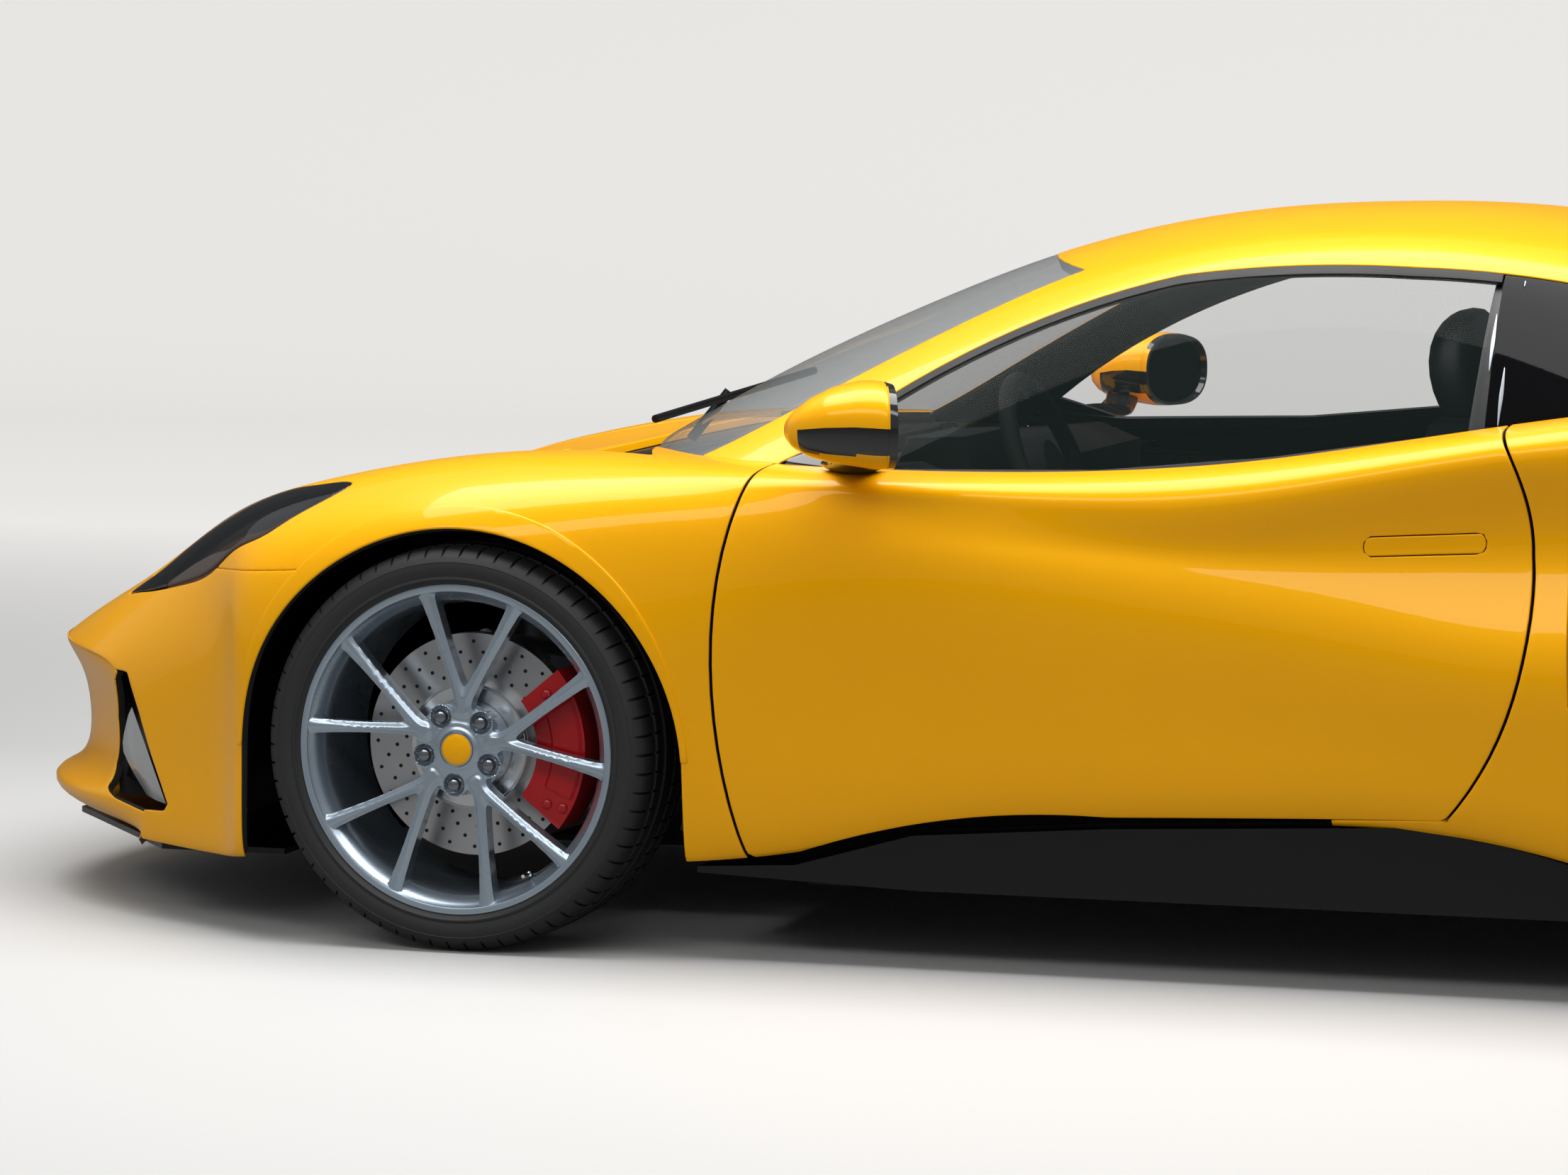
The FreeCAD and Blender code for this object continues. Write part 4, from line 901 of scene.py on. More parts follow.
class COUPE_OT_paint_panels(bpy.types.Operator):
    """Makes the painted panels from the body sections"""
    bl_idname = "coupe.paint_panels"
    bl_label = "Painted panels"

    def execute(self, context):
        step = context.scene.coupe_look.mesh_step / MM

        def painted(name, surface, fields, body="body", step=step, depth=SKIN, **settings):
            panel(name, surface, fields, "paint", body, step, depth, slot="yellow_paint", **settings)

        # Panels with the dark lining as their inner finish get dark return walls, which paint the shade in
        # the shut gaps and openings round them; the inner skins of the door and roof are real dark linings.
        for side, name in SIDES:
            left = name == "left"
            beside_door = outside(door_outline(0), gap=EDGE)
            painted("Door-skin-" + name, BODY_SURFACE, [
                side, within(door_outline(SHUT_GAP), gap=EDGE), outside(HANDLE, gap=2.5),
                beyond(GLASS_TREE, 4, BASE_Z)], "door_" + name, depth=20, inner="lining", closed=True,
                replaces="door_" + name)
            painted("Wing-" + name, BODY_SURFACE, [
                side, limit(0, -640, 1), outside(BUMPER_LINE, gap=3), clear_of_arches(EDGE),
                outside(bowed(BONNET), "plan", EDGE), outside(bowed(COWL_WELL, -1), "plan"),
                outside(HEADLAMP if left else flipped(HEADLAMP), "plan", EDGE), beside_door,
                beyond(GLASS_TREE, 2, BASE_Z)], inner="lining", replaces=left and "front_wings")
            painted("Rear-quarter-" + name, BODY_SURFACE, [
                side, limit(0, 300, -1), clear_of_arches(EDGE), beside_door, beyond(GLASS_TREE, 1, BASE_Z),
                outside(SIDE_INTAKE, gap=EDGE)], replaces=left and "rear_quarters")
        for side, name in SIDES:
            for label, axle_x, radius in ARCHES:
                painted("Arch-lip-%s-%s" % (label, name), BODY_SURFACE, [
                    side, clear_of_arches(EDGE), arch_band(axle_x, radius, 36), limit(2, 330, -1)],
                    depth=3, roll=2.5, offset=2.2)
        painted("Bonnet-skin", BODY_SURFACE, [within(bowed(BONNET_SKIN, SHUT_GAP), "plan", EDGE)], "bonnet",
                replaces="bonnet")
        painted("Bumper-top-and-sides", BODY_SURFACE, [
            within(BUMPER_LINE, gap=1.0), clear_of_arches(EDGE), outside(bowed(BONNET), "plan", EDGE),
            outside(CORNER_INTAKE, gap=EDGE), outside(HEADLAMP, "plan", EDGE),
            outside(flipped(HEADLAMP), "plan", EDGE)], inner="lining", replaces="front_bumper")
        painted("Bumper-face", NOSE_SURFACE, [
            outside(outline, "front", EDGE) for outline in (MOUTH, NOSE_INTAKE, front_flipped(NOSE_INTAKE))],
            step=step * 0.8, inner="lining")
        painted("Rear-bumper-face", TAIL_SURFACE, [
            outside(outline, "front", EDGE) for outline in (TAIL_VENT, TAIL_LAMP, front_flipped(TAIL_LAMP))],
            replaces="rear_bumper")
        painted("Roof-and-pillars", GLASS_SURFACE, [
            limit(0, -905, -1), outside(bowed(SCREEN), "plan", EDGE), outside(window_outline(0), gap=EDGE),
            outside(bowed(TAILGATE), "plan", EDGE), beyond(BODY_TREE, 0.5)],
            depth=22, inner="lining", closed=True, replaces="roof_frame")
        painted("Tailgate-skin", GLASS_SURFACE, [
            within(bowed(TAILGATE, SHUT_GAP), "plan", EDGE), outside(bowed(REAR_WINDOW), "plan", EDGE),
            beyond(BODY_TREE, 0)], "tailgate", depth=20, replaces="tailgate")
        return {"FINISHED"}


class COUPE_OT_glazing(bpy.types.Operator):
    """Makes the windows and their seals"""
    bl_idname = "coupe.glazing"
    bl_label = "Glazing"

    def execute(self, context):
        def glazed(name, fields, finish, body, depth, sunk, replaces):
            panel(name, GLASS_SURFACE, fields, finish, body, GLASS_STEP, depth, 0.5, -sunk,
                  slot="tinted_glass", replaces=replaces)

        # The windscreen's grey finish paints the wall's reflection in it.
        glazed("Windscreen", [within(bowed(SCREEN, 1), "plan"), beyond(BODY_TREE, -6)], "screen_glass",
               "body", 5, 1, "windscreen")
        glazed("Rear-window", [within(bowed(REAR_WINDOW, 1), "plan")], "dark_glass", "tailgate",
               5, 1, "rear_window")
        for side, name in SIDES:
            glazed("Door-glass-" + name, [side, within(window_outline(-8)), limit(0, PILLAR_X - 8, 1)],
                   "glass", "door_" + name, 4, 3, "door_glass_" + name)
            glazed("Quarter-glass-" + name, [
                side, within(window_outline(-2)), limit(0, PILLAR_X + 4, -1), beyond(BODY_TREE, 0)],
                "dark_glass", "body", 4, 2, name == "left" and "quarter_windows")
            panel("Window-seal-" + name, GLASS_SURFACE, [
                side, within(window_outline(-1.0)), outside(window_outline(-13)), limit(0, PILLAR_X, 1)],
                "rubber_seal", "body", GLASS_STEP, 8, 1.0, -1.0)
        return {"FINISHED"}


# Wheels. Each row: ending of the names, axle x, side (-1 left), half track, radius and width of the tyre,
# radius of the disc
WHEELS = (
    ("front_left", FRONT_AXLE_X, -1, 803.0, 336.0, 245.0, 185.0),
    ("front_right", FRONT_AXLE_X, 1, 803.0, 336.0, 245.0, 185.0),
    ("rear_left", REAR_AXLE_X, -1, 792.0, 339.0, 295.0, 175.0),
    ("rear_right", REAR_AXLE_X, 1, 792.0, 339.0, 295.0, 175.0),
)
RIM_R = 273.0
BARREL_R = 238.0
FACE_R = 262.0
SPOKE_PAIRS = 5
PAIR_TURN = 2 * math.pi / SPOKE_PAIRS
SPOKE_LEAN = 6.5
SPOKE_ROOT, SPOKE_TIP = (-5.0, 62.0), (80.0, 252.0)
SPOKE_BLEND = 4.5
BOLT_CIRCLE_R = 60.0
BOSS_R = 20.5
POCKET_R = 18.5
VALVE_R = 236.0
DISC_Y = 92.5
TREAD_PITCHES = 66

# Grooves of the tread. Columns: place as a share of the width, and (drop, y, cut) of each corner
TREAD_GROOVES = (
    (-0.27, (1.6, -4, 5.5), (8.0, -3, 0), (8.0, 5, 0), (0.6, 6, 3)),
    (-0.1, (0.6, -6, 3), (8.0, -5, 0), (8.0, 5, 0), (0.1, 6, 0)),
)


def turned(profile, count):
    """Points and faces of a closed (radius, y) profile turned about the axle, the origin's Y line."""
    return grooved([(r, y, 0.0) for r, y in profile], [(2 * math.pi * k / count, 0.0) for k in range(count)])


def grooved(profile, angles):
    """A turned (radius, y, cut) profile; its radius drops by a share of the cut at each (turn, share)."""
    n = len(profile)
    points = []
    for turn, share in angles:
        for r, y, cut in profile:
            points.append(((r - cut * share) * math.cos(turn), y, (r - cut * share) * math.sin(turn)))
    faces = []
    for k in range(len(angles)):
        a, b = k * n, ((k + 1) % len(angles)) * n
        faces += [(a + i, b + i, b + (i + 1) % n, a + (i + 1) % n) for i in range(n)]
    return np.array(points), faces


def lofted(rings):
    """Points and faces of a tube through closed rings of points, with its ends closed."""
    n = len(rings[0])
    points = np.concatenate([np.array(ring, float) for ring in rings])
    faces = []
    for a in range(0, n * (len(rings) - 1), n):
        faces += [(a + i, a + (i + 1) % n, a + n + (i + 1) % n, a + n + i) for i in range(n)]
    faces.append(tuple(range(n))[::-1])
    faces.append(tuple((len(rings) - 1) * n + i for i in range(n)))
    return points, faces


def sector(profile, half_angle, parts):
    """A (radius, y) profile swept about the axle between two angles, with its ends closed."""
    turns = np.radians(np.linspace(-half_angle, half_angle, parts + 1))
    return lofted([[(r * math.cos(turn), y, r * math.sin(turn)) for r, y in profile] for turn in turns])


def joined(shapes):
    """Several shapes as one."""
    points, faces = [], []
    for some, their_faces in shapes:
        base = sum(len(p) for p in points)
        points.append(np.array(some))
        faces += [tuple(i + base for i in face) for face in their_faces]
    return np.concatenate(points), faces


def repeated(shape, places):
    """Copies of a shape at (radius, turn) places about the axle, as one."""
    points, faces = shape
    return joined([(points + (r * math.sin(turn), 0.0, r * math.cos(turn)), faces) for r, turn in places])


def boss_distance(r, angle):
    """Distance to the middle of the nearest bolt boss."""
    boss = angle % PAIR_TURN - PAIR_TURN / 2
    return np.hypot(r * np.sin(boss), r * np.cos(boss) - BOLT_CIRCLE_R)


def spoke_field(x, z):
    """Distance in millimetres to the edge of the wheel's face: spoke pairs, hub, bolt bosses and rim ring."""
    r = np.hypot(x, z)
    angle = (np.arctan2(x, z) - math.radians(SPOKE_LEAN) + PAIR_TURN / 2) % PAIR_TURN - PAIR_TURN / 2
    across, out = r * np.sin(angle), r * np.cos(angle)
    distances = [FACE_R - r, r - 50.0]
    rise = (SPOKE_TIP[0] - SPOKE_ROOT[0], SPOKE_TIP[1] - SPOKE_ROOT[1])
    length = math.hypot(*rise)
    ux, uy = rise[0] / length, rise[1] / length
    for sign in (-1, 1):
        px, py = across * sign - SPOKE_ROOT[0], out - SPOKE_ROOT[1]
        t = np.clip(px * ux + py * uy, 0, length)
        half = 11.5 - 3.5 * np.sin(np.pi * np.clip(t / length, 0, 1)) + 1.5 * (t / length)
        distances.append(np.hypot(px - t * ux, py - t * uy) - half)
    distances.append(boss_distance(r, angle) - BOSS_R)
    return -SPOKE_BLEND * np.log(np.exp(-np.array(distances) / SPOKE_BLEND).sum(axis=0))


def wheel_face(face):
    """The spoked face of a left-hand wheel, centred on its axle."""
    radii = np.concatenate((np.arange(26.0, 110.0, 2.6), np.arange(110.0, FACE_R + 0.5, 4.0)))
    r, a = np.meshgrid(radii, np.radians(np.arange(0, 360, 0.9)), indexing="ij")
    x, z = r * np.sin(a), r * np.cos(a)
    depth = face + 7.0 + 13.0 * (1 - (r / FACE_R) ** 2) - 0.62 * np.clip(-spoke_field(x, z), 0, 8.0)
    depth += 9.0 * np.clip((POCKET_R - boss_distance(r, a - math.radians(SPOKE_LEAN))) / 3.0, 0, 1)
    depth -= 3.0 * np.clip((37.0 - r) / 4.0, 0, 1)
    points = np.stack((x, depth, z), axis=2).reshape(-1, 3) * MM
    index = np.arange(r.size).reshape(r.shape)
    after = np.roll(index, -1, axis=1)
    faces = np.stack((index[:-1], index[1:], after[1:], after[:-1]), axis=2).reshape(-1, 4)
    normals = np.tile((0.0, -1.0, 0.0), (len(points), 1))
    points, normals, faces = trimmed(points, normals, faces, [
        lambda p: spoke_field(p[:, 0] / MM, p[:, 2] / MM) * MM])
    points, faces, hidden = with_edges(points, normals, faces, 30 * MM, 1.2 * MM, False)
    return points / MM, faces + hidden


def tyre_shape(radius, width):
    """A tyre with grooves round its tread and cuts across its shoulders."""
    side = [
        (272.5, 22, 0), (273.5, 9, 0), (278, 6.5, 0), (281, 2.2, 0), (284, 2.0, 0), (286, 3.4, 0),
        (293, 1.2, 0), (303, 0.4, 0), (309, 1.4, 0), (310, 0.8, 0), (316, 3.6, 0), (radius - 15, 7.4, 2.0),
        (radius - 9.5, 13, 4.5), (radius - 5.0, 21, 5.5), (radius - 2.4, 34, 5.5), (radius - 1.6, 46, 5.5),
    ]
    left = [(r, y - width / 2, cut) for r, y, cut in side]
    for share, *corners in TREAD_GROOVES:
        left += [(radius - down, share * width + y, cut) for down, y, cut in corners]
    marks = ((0.0, 0.0), (0.015, 1.0), (0.13, 1.0), (0.145, 0.0), (0.57, 0.0))
    angles = [(2 * math.pi * (k + place) / TREAD_PITCHES, share)
              for k in range(TREAD_PITCHES) for place, share in marks]
    return grooved(left + [(r, -y, cut) for r, y, cut in reversed(left)], angles)


class COUPE_OT_wheels(bpy.types.Operator):
    """Makes the tyres, rims, bolts, caps, the painted shade of the discs' drilled holes, the disc hats and
    caliper bridges
    """
    bl_idname = "coupe.wheels"
    bl_label = "Wheels"

    def execute(self, context):
        shapes = {}
        for name, x, side, track, radius, width, disc_r in WHEELS:
            half = width / 2
            face = 8 - half
            if width not in shapes:
                shapes[width] = (wheel_face(face), tyre_shape(radius, width))
            spokes, tyre = shapes[width]

            def make(label, shape, finish, replaces=None, ride="wheel_" + name, sharp=32.0):
                points, faces = shape
                points = (np.array(points) * (1, -side, 1) + (x, side * track, radius)) * MM
                faces = [face[::-1] for face in faces] if side > 0 else faces
                label += "-" + name
                creased(mesh_object(label, points, faces, [finish], ride, None, replaces), sharp)

            def ring(profile, count):
                return turned([(r, face + y) for r, y in profile], count)

            make("Spokes", spokes, "wheel_silver")
            make("Tyre", tyre, "tyre", "tyre_" + name, sharp=40.0)
            rear = half - face
            make("Barrel", ring([
                (RIM_R, 1), (271.5, 0), (265, 0), (261.5, 1.5), (259.5, 5), (256, 9), (247, 20), (243, 34),
                (BARREL_R + 1, 60), (BARREL_R, rear - 30), (261, rear - 8), (RIM_R, rear - 8),
                (258, rear - 22), (258, 14)], 144), "wheel_silver", "rim_" + name)
            make("Hub", ring([(0, 30), (78, 30), (78, 66), (0, 66)], 48), "wheel_silver")
            make("Cap", ring([(0.01, 9.5), (15, 10.2), (24, 11.8), (27, 13.5), (27, 22), (0.01, 22)], 48),
                 "paint")
            make("Cap-ring", ring([(27, 13), (28.5, 11.5), (31, 12.5), (31, 24), (27, 24)], 48),
                 "gloss_black")
            bolt = ring([
                (0.01, 11), (5, 11.5), (9, 13.5), (11, 17), (11.5, 21), (14.5, 23), (14.5, 34),
                (0.01, 34)], 18)
            lean = math.radians(SPOKE_LEAN)
            places = [(BOLT_CIRCLE_R, (k + 0.5) * PAIR_TURN + lean) for k in range(SPOKE_PAIRS)]
            make("Bolts", repeated(bolt, places), "dark_chrome")
            # Dark dots set into the disc face paint the shade in its drilled holes.
            places = [(disc_r - 14 - 17.0 * (k % 4), math.radians(15 * (k // 4)) + 0.11 * (k % 4))
                      for k in range(96)]
            hole_shade = ring([(0.01, DISC_Y - 0.4), (3.3, DISC_Y - 0.4), (3.3, DISC_Y + 2), (0.01, DISC_Y + 2)], 8)
            make("Disc-hole-shade", repeated(hole_shade, places), "lining")
            make("Disc-hat", ring([
                (80, DISC_Y - 27), (100, DISC_Y - 27), (104.5, DISC_Y - 23), (104.5, DISC_Y + 1),
                (80, DISC_Y + 1)], 72), "hat_alloy")
            steered = name.startswith("front")
            outer = track - abs(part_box("caliper_" + name if steered else "caliper_rear")[0][1]) / MM
            plate = sector([
                (disc_r - 36, outer - 0.5), (disc_r - 32, outer - 4), (disc_r + 12, outer - 4),
                (disc_r + 17, outer - 0.5)], 24, 20)
            stud = [(0.01, 6), (5, 5.5), (8, 3.5), (8, 0.5), (0.01, 0.5)]
            stud = turned([(r, outer - y) for r, y in stud], 20)
            places = ((-18, 57), (-18, 123), (8, 60), (8, 120))
            places = [(disc_r + out, math.radians(turn)) for out, turn in places]
            make("Caliper-bridge", joined([plate, repeated(stud, places)]), "red_enamel",
                 ride="knuckle_" + name[6:] if steered else "body")
            valve = ring([(0.01, 6), (3, 6), (3, 30), (5, 32), (5, 44), (0.01, 44)], 12)
            make("Valve", repeated(valve, [(VALVE_R, math.radians(150))]), "chrome")
        return {"FINISHED"}


# Door mirrors. Head sections: x, height of the middle, half width, half height
MIRROR_Y = -955.0
MIRROR_HEAD = (
    (-563, 876, 20, 8), (-558, 877, 42, 20), (-545, 878, 62, 34), (-522, 881, 80, 49), (-490, 885, 91, 61),
    (-450, 887, 95, 68), (-427, 886, 95, 70), (-410, 885, 94, 69), (-408, 885, 92.5, 67.5),
    (-406, 885, 94, 69), (-396, 884, 92, 67),
)
# Foot sections: middle, half length and half height
MIRROR_FOOT = (
    (-490, -905, 846, 30, 16), (-486, -880, 828, 32, 14), (-490, -855, 815, 36, 12),
    (-498, -832, 810, 46, 12), (-505, -806, 812, 56, 14),
)


def squared(count, power, other_power):
    """(across, through) pairs, each from -1 to 1, round an oval that lower powers square off."""
    pairs = []
    for k in range(count):
        c, s = math.cos(2 * math.pi * k / count), math.sin(2 * math.pi * k / count)
        pairs.append((math.copysign(abs(c) ** power, c), math.copysign(abs(s) ** other_power, s)))
    return pairs


def mirror_lean(x):
    """How far a section of the mirror head leans towards the driver: square in front, turned at the glass."""
    return 0.1 - 0.55 * min(max((x + 563) / 179, 0.0), 1.0)


def mirror_ring(x, z, half_y, half_z):
    """One section of the left mirror head."""
    lean = mirror_lean(x)
    return [(x + lean * half_y * c, MIRROR_Y + half_y * c, z + half_z * s) for c, s in squared(64, 0.8, 0.8)]


class COUPE_OT_mirrors(bpy.types.Operator):
    """Makes the door mirrors with their glass, insert and foot"""
    bl_idname = "coupe.mirrors"
    bl_label = "Door mirrors"

    def execute(self, context):
        rings = []
        for first, second in zip(MIRROR_HEAD, MIRROR_HEAD[1:]):
            parts = 3 if second[0] - first[0] > 10 else 1
            for k in range(parts):
                rings.append(mirror_ring(*(a + (b - a) * k / parts for a, b in zip(first, second))))
        x, z, w, h = MIRROR_HEAD[-1]
        for shift, inset in ((0, 0), (1, 5), (-8, 7)):
            rings.append([(px + shift, py, pz) for px, py, pz in mirror_ring(x, z, w - inset, h - inset)])
        head, head_faces = lofted(rings)
        indices = []
        for face in head_faces:
            middle = head[list(face)].mean(axis=0)
            along = middle[0] - mirror_lean(middle[0]) * (middle[1] - MIRROR_Y)
            indices.append(int(along > -409 or (842 < middle[2] < 884 and along > -528)))
        indices[-1] = 2
        rings = []
        for cx, cy, cz, half_x, half_z in MIRROR_FOOT:
            rings.append([(cx + half_x * c, cy, cz + half_z * s) for c, s in squared(24, 1, 1)])
        foot, foot_faces = lofted(rings)
        foot_faces = [face[::-1] for face in foot_faces]
        head_finishes = ["paint", "gloss_black", "mirror_glass"]
        for name, side in (("left", 1), ("right", -1)):
            for label, points, faces, finishes, picks, replaces in (
                ("Mirror-head-", head, head_faces, head_finishes, indices, "mirror_" + name),
                ("Mirror-foot-", foot, foot_faces, ["gloss_black"], None, None),
            ):
                points = points * (1, side, 1) * MM
                faces = faces if side > 0 else [face[::-1] for face in faces]
                piece = mesh_object(label + name, points, faces, finishes, "door_" + name, picks,
                                    replaces)
                creased(piece, 40.0)
        return {"FINISHED"}


# Seats. Cushion sections: x, height of its top, half width
SEAT_Y = 365.0
CUSHION_BASE = 188.0
CUSHION = (
    (-192, 300, 205), (-184, 352, 208), (-140, 378, 212), (-40, 372, 214), (90, 352, 214), (220, 338, 210),
    (318, 336, 200),
)
# Back and headrest sections: x, height, half depth, half width
BACKREST = (
    (300, 345, 62, 196), (322, 410, 66, 206), (352, 500, 70, 214), (384, 600, 66, 216), (408, 700, 56, 208),
    (424, 790, 46, 186), (430, 850, 40, 150), (430, 893, 36, 112),
)
HEADREST = (
    (424, 872, 30, 86), (414, 900, 42, 112), (404, 950, 48, 124), (402, 1000, 46, 118), (410, 1040, 36, 98),
    (420, 1060, 14, 60),
)


def cushion():
    """The seat's cushion, with raised sides behind its front edge."""
    rings = []
    for x, top, half in CUSHION:
        middle = (top + CUSHION_BASE) / 2
        ring = []
        for c, s in squared(48, 0.6, 0.5):
            raised = 34 * max(0.0, (abs(c) - 0.6) / 0.4) ** 1.6 if s > 0 and x > -120 else 0.0
            ring.append((x, half * c, middle + (top - middle) * s + raised))
        rings.append(ring)
    return lofted(rings)


def upright_pad(rows, power, bolster):
    """A padded upright shape, with side bolsters in front."""
    rings = []
    for x, z, half_x, half_y in rows:
        ring = []
        for c, s in squared(56, 0.62, power):
            lean = bolster * max(0.0, (abs(c) - 0.62) / 0.38) ** 1.5 if s > 0 else 0.0
            ring.append((x - half_x * s - lean, half_y * c, z))
        rings.append(ring)
    return lofted(rings)


class COUPE_OT_seats(bpy.types.Operator):
    """Makes the two padded seats"""
    bl_idname = "coupe.seats"
    bl_label = "Seats"

    def execute(self, context):
        shapes = (("Seat-cushion-", cushion()), ("Seat-back-", upright_pad(BACKREST, 0.55, 46)),
                  ("Headrest-", upright_pad(HEADREST, 0.8, 0.0)))
        for side, name in ((-1, "left"), (1, "right")):
            for label, (points, faces) in shapes:
                replaces = "seats" if label + name == "Seat-back-left" else None
                points = (points + (0, side * SEAT_Y, 0)) * MM
                piece = mesh_object(label + name, points, faces, ["seat_leather"], "body", None,
                                    replaces)
                smooth = piece.modifiers.new("Rounding", "SUBSURF")
                smooth.levels = smooth.render_levels = 1
        return {"FINISHED"}


# Trim, lamps and stage

class COUPE_OT_trim(bpy.types.Operator):
    """Makes the handles, with painted shade in their gaps and recesses, and the linings and bright trims"""
    bl_idname = "coupe.trim"
    bl_label = "Trim and linings"

    def execute(self, context):
        panel("Cowl-well", BODY_SURFACE, [within(bowed(COWL_WELL), "plan")], "satin_black", "body",
              20, 2, 0.5, -16, slot="black_plastic")
        sail = ((-700, 800), (-600, 854), (-470, 806), (-470, 760), (-700, 760))
        for side, name in SIDES:
            body = "door_" + name
            high = limit(2, 640, -1)
            # The handle's dark return walls and the dark sheet sunk behind it paint the shade in the handle's
            # gap and recess.
            panel("Door-handle-" + name, BODY_SURFACE, [side, high, within(HANDLE, gap=3.0)], "paint", body,
                  6, 8, 2.0, 0.6, inner="lining", slot="yellow_paint")
            panel("Handle-recess-shade-" + name, BODY_SURFACE, [side, high, within(HANDLE, gap=-4.0)], "lining",
                  body, 10, 2, 0.5, -9, slot="black_plastic")
            panel("Door-lining-" + name, BODY_SURFACE, [
                side, within(door_outline(22)), limit(2, 890, 1), beyond(GLASS_TREE, 12, BASE_Z)],
                "leather", body, 25, 2, 0.5, -62, flip=True, slot="black_leather")
            panel("Sail-panel-" + name, GLASS_SURFACE, [side, within(sail), within(window_outline(-5))],
                  "gloss_black", body, 10, 6, 1, 0.5, slot="black_plastic")
            for k, shift in enumerate((-16, 12)):
                panel("Pillar-trim-%s-%d" % (name, k), GLASS_SURFACE, [
                    side, within(pillar_strip(shift - 4, shift + 1, 30)), within(window_outline(-7)),
                    beyond(BODY_TREE, 2)], "bright_trim", "body", 12, 4, 1, 1, slot="black_plastic")
            panel("Pillar-cover-" + name, GLASS_SURFACE, [
                side, within(pillar_strip(-34, 30, 30)), within(window_outline(-3)), beyond(BODY_TREE, -10)],
                "satin_black", "body", 20, 8, 1, -12, slot="black_plastic")
        return {"FINISHED"}


def pillar_strip(front, rear, lean):
    """A strip up the pillar behind the door glass, between two distances from it."""
    return [(PILLAR_X + front, 700), (PILLAR_X + rear, 700), (PILLAR_X + rear + lean, 1200),
            (PILLAR_X + front + lean, 1200)]


def sheet(name, rows, side, finish):
    """An open sheet through rows of four points each, in millimetres."""
    points = np.array(rows, float).reshape(-1, 3) * (1, side, 1) * MM
    starts = [4 * k + i for k in range(len(rows) - 1) for i in range(3)]
    faces = [(i, i + 1, i + 5, i + 4) for i in starts]
    mesh_object(name, points, faces, [finish], "body")


class COUPE_OT_lamps(bpy.types.Operator):
    """Makes the lamps' lenses and inner parts, and the ducts and vanes of the nose intakes"""
    bl_idname = "coupe.lamps"
    bl_label = "Lamps"

    def execute(self, context):
        for outline, name in ((TAIL_LAMP, "left"), (front_flipped(TAIL_LAMP), "right")):
            panel("Tail-lens-" + name, TAIL_SURFACE, [within(outline, "front", 1)], "red_lens", "body",
                  8, 8, 1.5, -1, slot="red_lens", replaces=name == "left" and "tail_lamps")
        liner = []
        for x, y, z0, z1 in ((-1905, 600, 196, 420), (-1790, 585, 188, 424), (-1700, 640, 184, 430),
                             (-1690, 748, 180, 440)):
            liner.append([(x, y, z0 + (z1 - z0) * k / 3) for k in range(4)])
        vane = []
        for t in np.linspace(0, 1, 10):
            bulge = math.sin(math.pi * t)
            z = 205 + 165 * t
            x = -1800 - 62 * t
            wide = min(1.0, 1.9 * (1 - t)) ** 0.7
            tip = np.array((x + 34, -712, z - 8))
            row = [(x - 34 - 10 * bulge, -640, z), (x - 22 - 16 * bulge, -668, z), (x + 6, -696, z - 4)]
            vane.append([tuple(tip + (np.array(p) - tip) * wide) for p in row] + [tuple(tip)])
        for side, name in ((-1, "left"), (1, "right")):
            sheet("Nose-duct-" + name, liner, side, "lining")
            sheet("Nose-vane-" + name, vane, -side, "vane_grey")
        for mirror, name in ((list, "left"), (flipped, "right")):
            outline = mirror(HEADLAMP)
            panel("Lamp-strip-" + name, BODY_SURFACE, [
                within(outline, "plan", 7), outside(outline, "plan", -27),
                within(mirror(LAMP_STRIP), "plan")], "amber_strip", "body", 10, 3, 1, -9, slot="lamp_lens")
            panel("Lamp-lens-" + name, BODY_SURFACE, [within(outline, "plan", 3)], "smoke_lens", "body",
                  10, 6, slot="lamp_lens")
            panel("Lamp-bowl-" + name, BODY_SURFACE, [within(outline, "plan", 2)], "lamp_black", "body",
                  14, 3, 1, -26, slot="lamp_lens", replaces=name == "left" and "headlamps")
        return {"FINISHED"}


# The photograph's camera: focal length in its own pixels, place in metres, turn and tilt in degrees
PHOTO_WIDTH = 2212
CAMERA_FOCAL = 7477.5
CAMERA_PLACE = (2.0037, -8.971, 1.3823)
CAMERA_TURN = 17.8325
CAMERA_DOWN = 5.1511
SENSOR_WIDTH = 36.0

# The backdrop: its half width and ends, the radius of its cove and the height of its wall, in metres
FLOOR_HALF, FLOOR_NEAR, FLOOR_FAR = 30.0, -30.0, 13.0
COVE_R = 3.0
WALL_TOP = 14.0


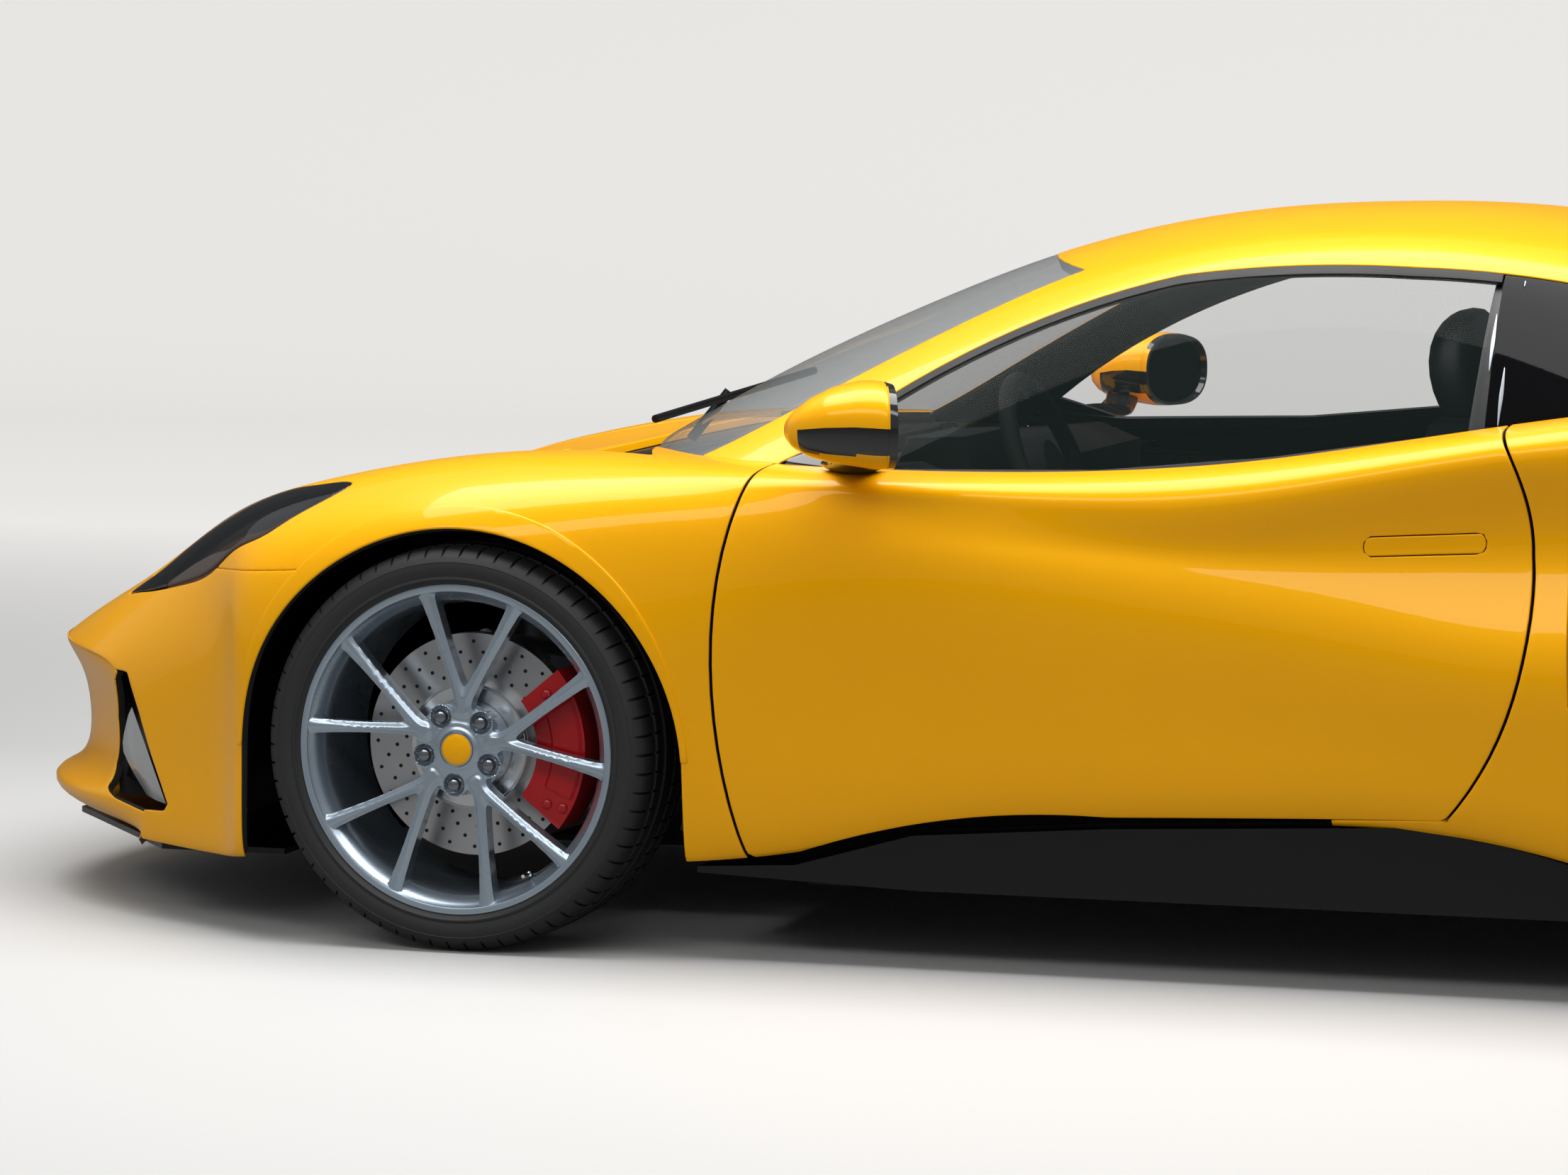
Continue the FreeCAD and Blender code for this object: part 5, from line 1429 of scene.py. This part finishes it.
class COUPE_OT_stage(bpy.types.Operator):
    """Makes the floor, the light and the camera"""
    bl_idname = "coupe.stage"
    bl_label = "Stage"

    def execute(self, context):
        rows = [(FLOOR_NEAR, 0.0), (FLOOR_FAR, 0.0)]
        for angle in np.radians(range(5, 91, 5)):
            rows.append((FLOOR_FAR + COVE_R * math.sin(angle), COVE_R - COVE_R * math.cos(angle)))
        rows.append((FLOOR_FAR + COVE_R, WALL_TOP))
        mesh = bpy.data.meshes.new("Backdrop")
        faces = [(2 * k, 2 * k + 1, 2 * k + 3, 2 * k + 2) for k in range(len(rows) - 1)]
        mesh.from_pydata([(x, y, z) for y, z in rows for x in (-FLOOR_HALF, FLOOR_HALF)], [], faces)
        mesh.polygons.foreach_set("use_smooth", [True] * len(mesh.polygons))
        mesh.materials.append(MATERIALS["floor"])
        backdrop = bpy.data.objects.new("Backdrop", mesh)
        context.collection.objects.link(backdrop)
        world = context.scene.world or bpy.data.worlds.new("World")
        context.scene.world = world
        world.use_nodes = True
        nodes, links = world.node_tree.nodes, world.node_tree.links
        background = next(n for n in nodes if n.type == "BACKGROUND")
        background.inputs["Color"].default_value = (0.82, 0.84, 0.86, 1.0)
        path = nodes.new("ShaderNodeLightPath")
        strength = nodes.new("ShaderNodeMapRange")
        strength.inputs["To Min"].default_value = 0.4
        strength.inputs["To Max"].default_value = 0.95
        links.new(path.outputs["Is Camera Ray"], strength.inputs["Value"])
        links.new(strength.outputs["Result"], background.inputs["Strength"])
        for name, place, size, power, aim in (
            ("Ceiling-light", (0.0, -0.5, 4.5), (7.0, 3.5), 420.0, (0.0, 0.0, 0.5)),
            ("Side-light", (-1.0, -6.0, 4.2), (7.0, 1.2), 110.0, (0.0, 0.0, 0.6)),
        ):
            bpy.ops.object.light_add(type="AREA", location=place)
            lamp = bpy.context.object
            lamp.name = name
            lamp.data.shape = "RECTANGLE"
            lamp.data.size, lamp.data.size_y = size
            lamp.data.energy = power
            lamp.rotation_euler = (Vector(aim) - Vector(place)).to_track_quat("-Z", "Y").to_euler()
        bpy.ops.object.camera_add(location=CAMERA_PLACE)
        camera = bpy.context.object
        camera.rotation_euler = (math.radians(90.0 - CAMERA_DOWN), 0.0, math.radians(CAMERA_TURN))
        camera.data.sensor_width = SENSOR_WIDTH
        camera.data.lens = SENSOR_WIDTH * CAMERA_FOCAL / PHOTO_WIDTH
        camera.data.clip_end = 200.0
        bpy.context.scene.camera = camera
        context.scene.view_settings.view_transform = "Standard"
        return {"FINISHED"}


class COUPE_PT_panel(bpy.types.Panel):
    bl_idname = "COUPE_PT_panel"
    bl_label = "Coupe"
    bl_space_type = "VIEW_3D"
    bl_region_type = "UI"
    bl_category = "Coupe"

    def draw(self, context):
        for name in CoupeLook.__annotations__:
            self.layout.prop(context.scene.coupe_look, name)
        for operator in OPERATORS:
            self.layout.operator(operator.bl_idname)


OPERATORS = (
    COUPE_OT_paint_panels, COUPE_OT_glazing, COUPE_OT_wheels, COUPE_OT_mirrors, COUPE_OT_seats, COUPE_OT_trim,
    COUPE_OT_lamps, COUPE_OT_stage,
)
CLASSES = (CoupeLook, *OPERATORS, COUPE_PT_panel)


def register():
    for cls in CLASSES:
        bpy.utils.register_class(cls)
    bpy.types.Scene.coupe_look = bpy.props.PointerProperty(type=CoupeLook)


def unregister():
    del bpy.types.Scene.coupe_look
    for cls in reversed(CLASSES):
        bpy.utils.unregister_class(cls)


def main():
    register()
    deselect()
    make_materials(bpy.context.scene.coupe_look)
    dress_solids()
    for operator in OPERATORS:
        group, name = operator.bl_idname.split(".")
        getattr(getattr(bpy.ops, group), name)()


if __name__ == "__main__":
    main()
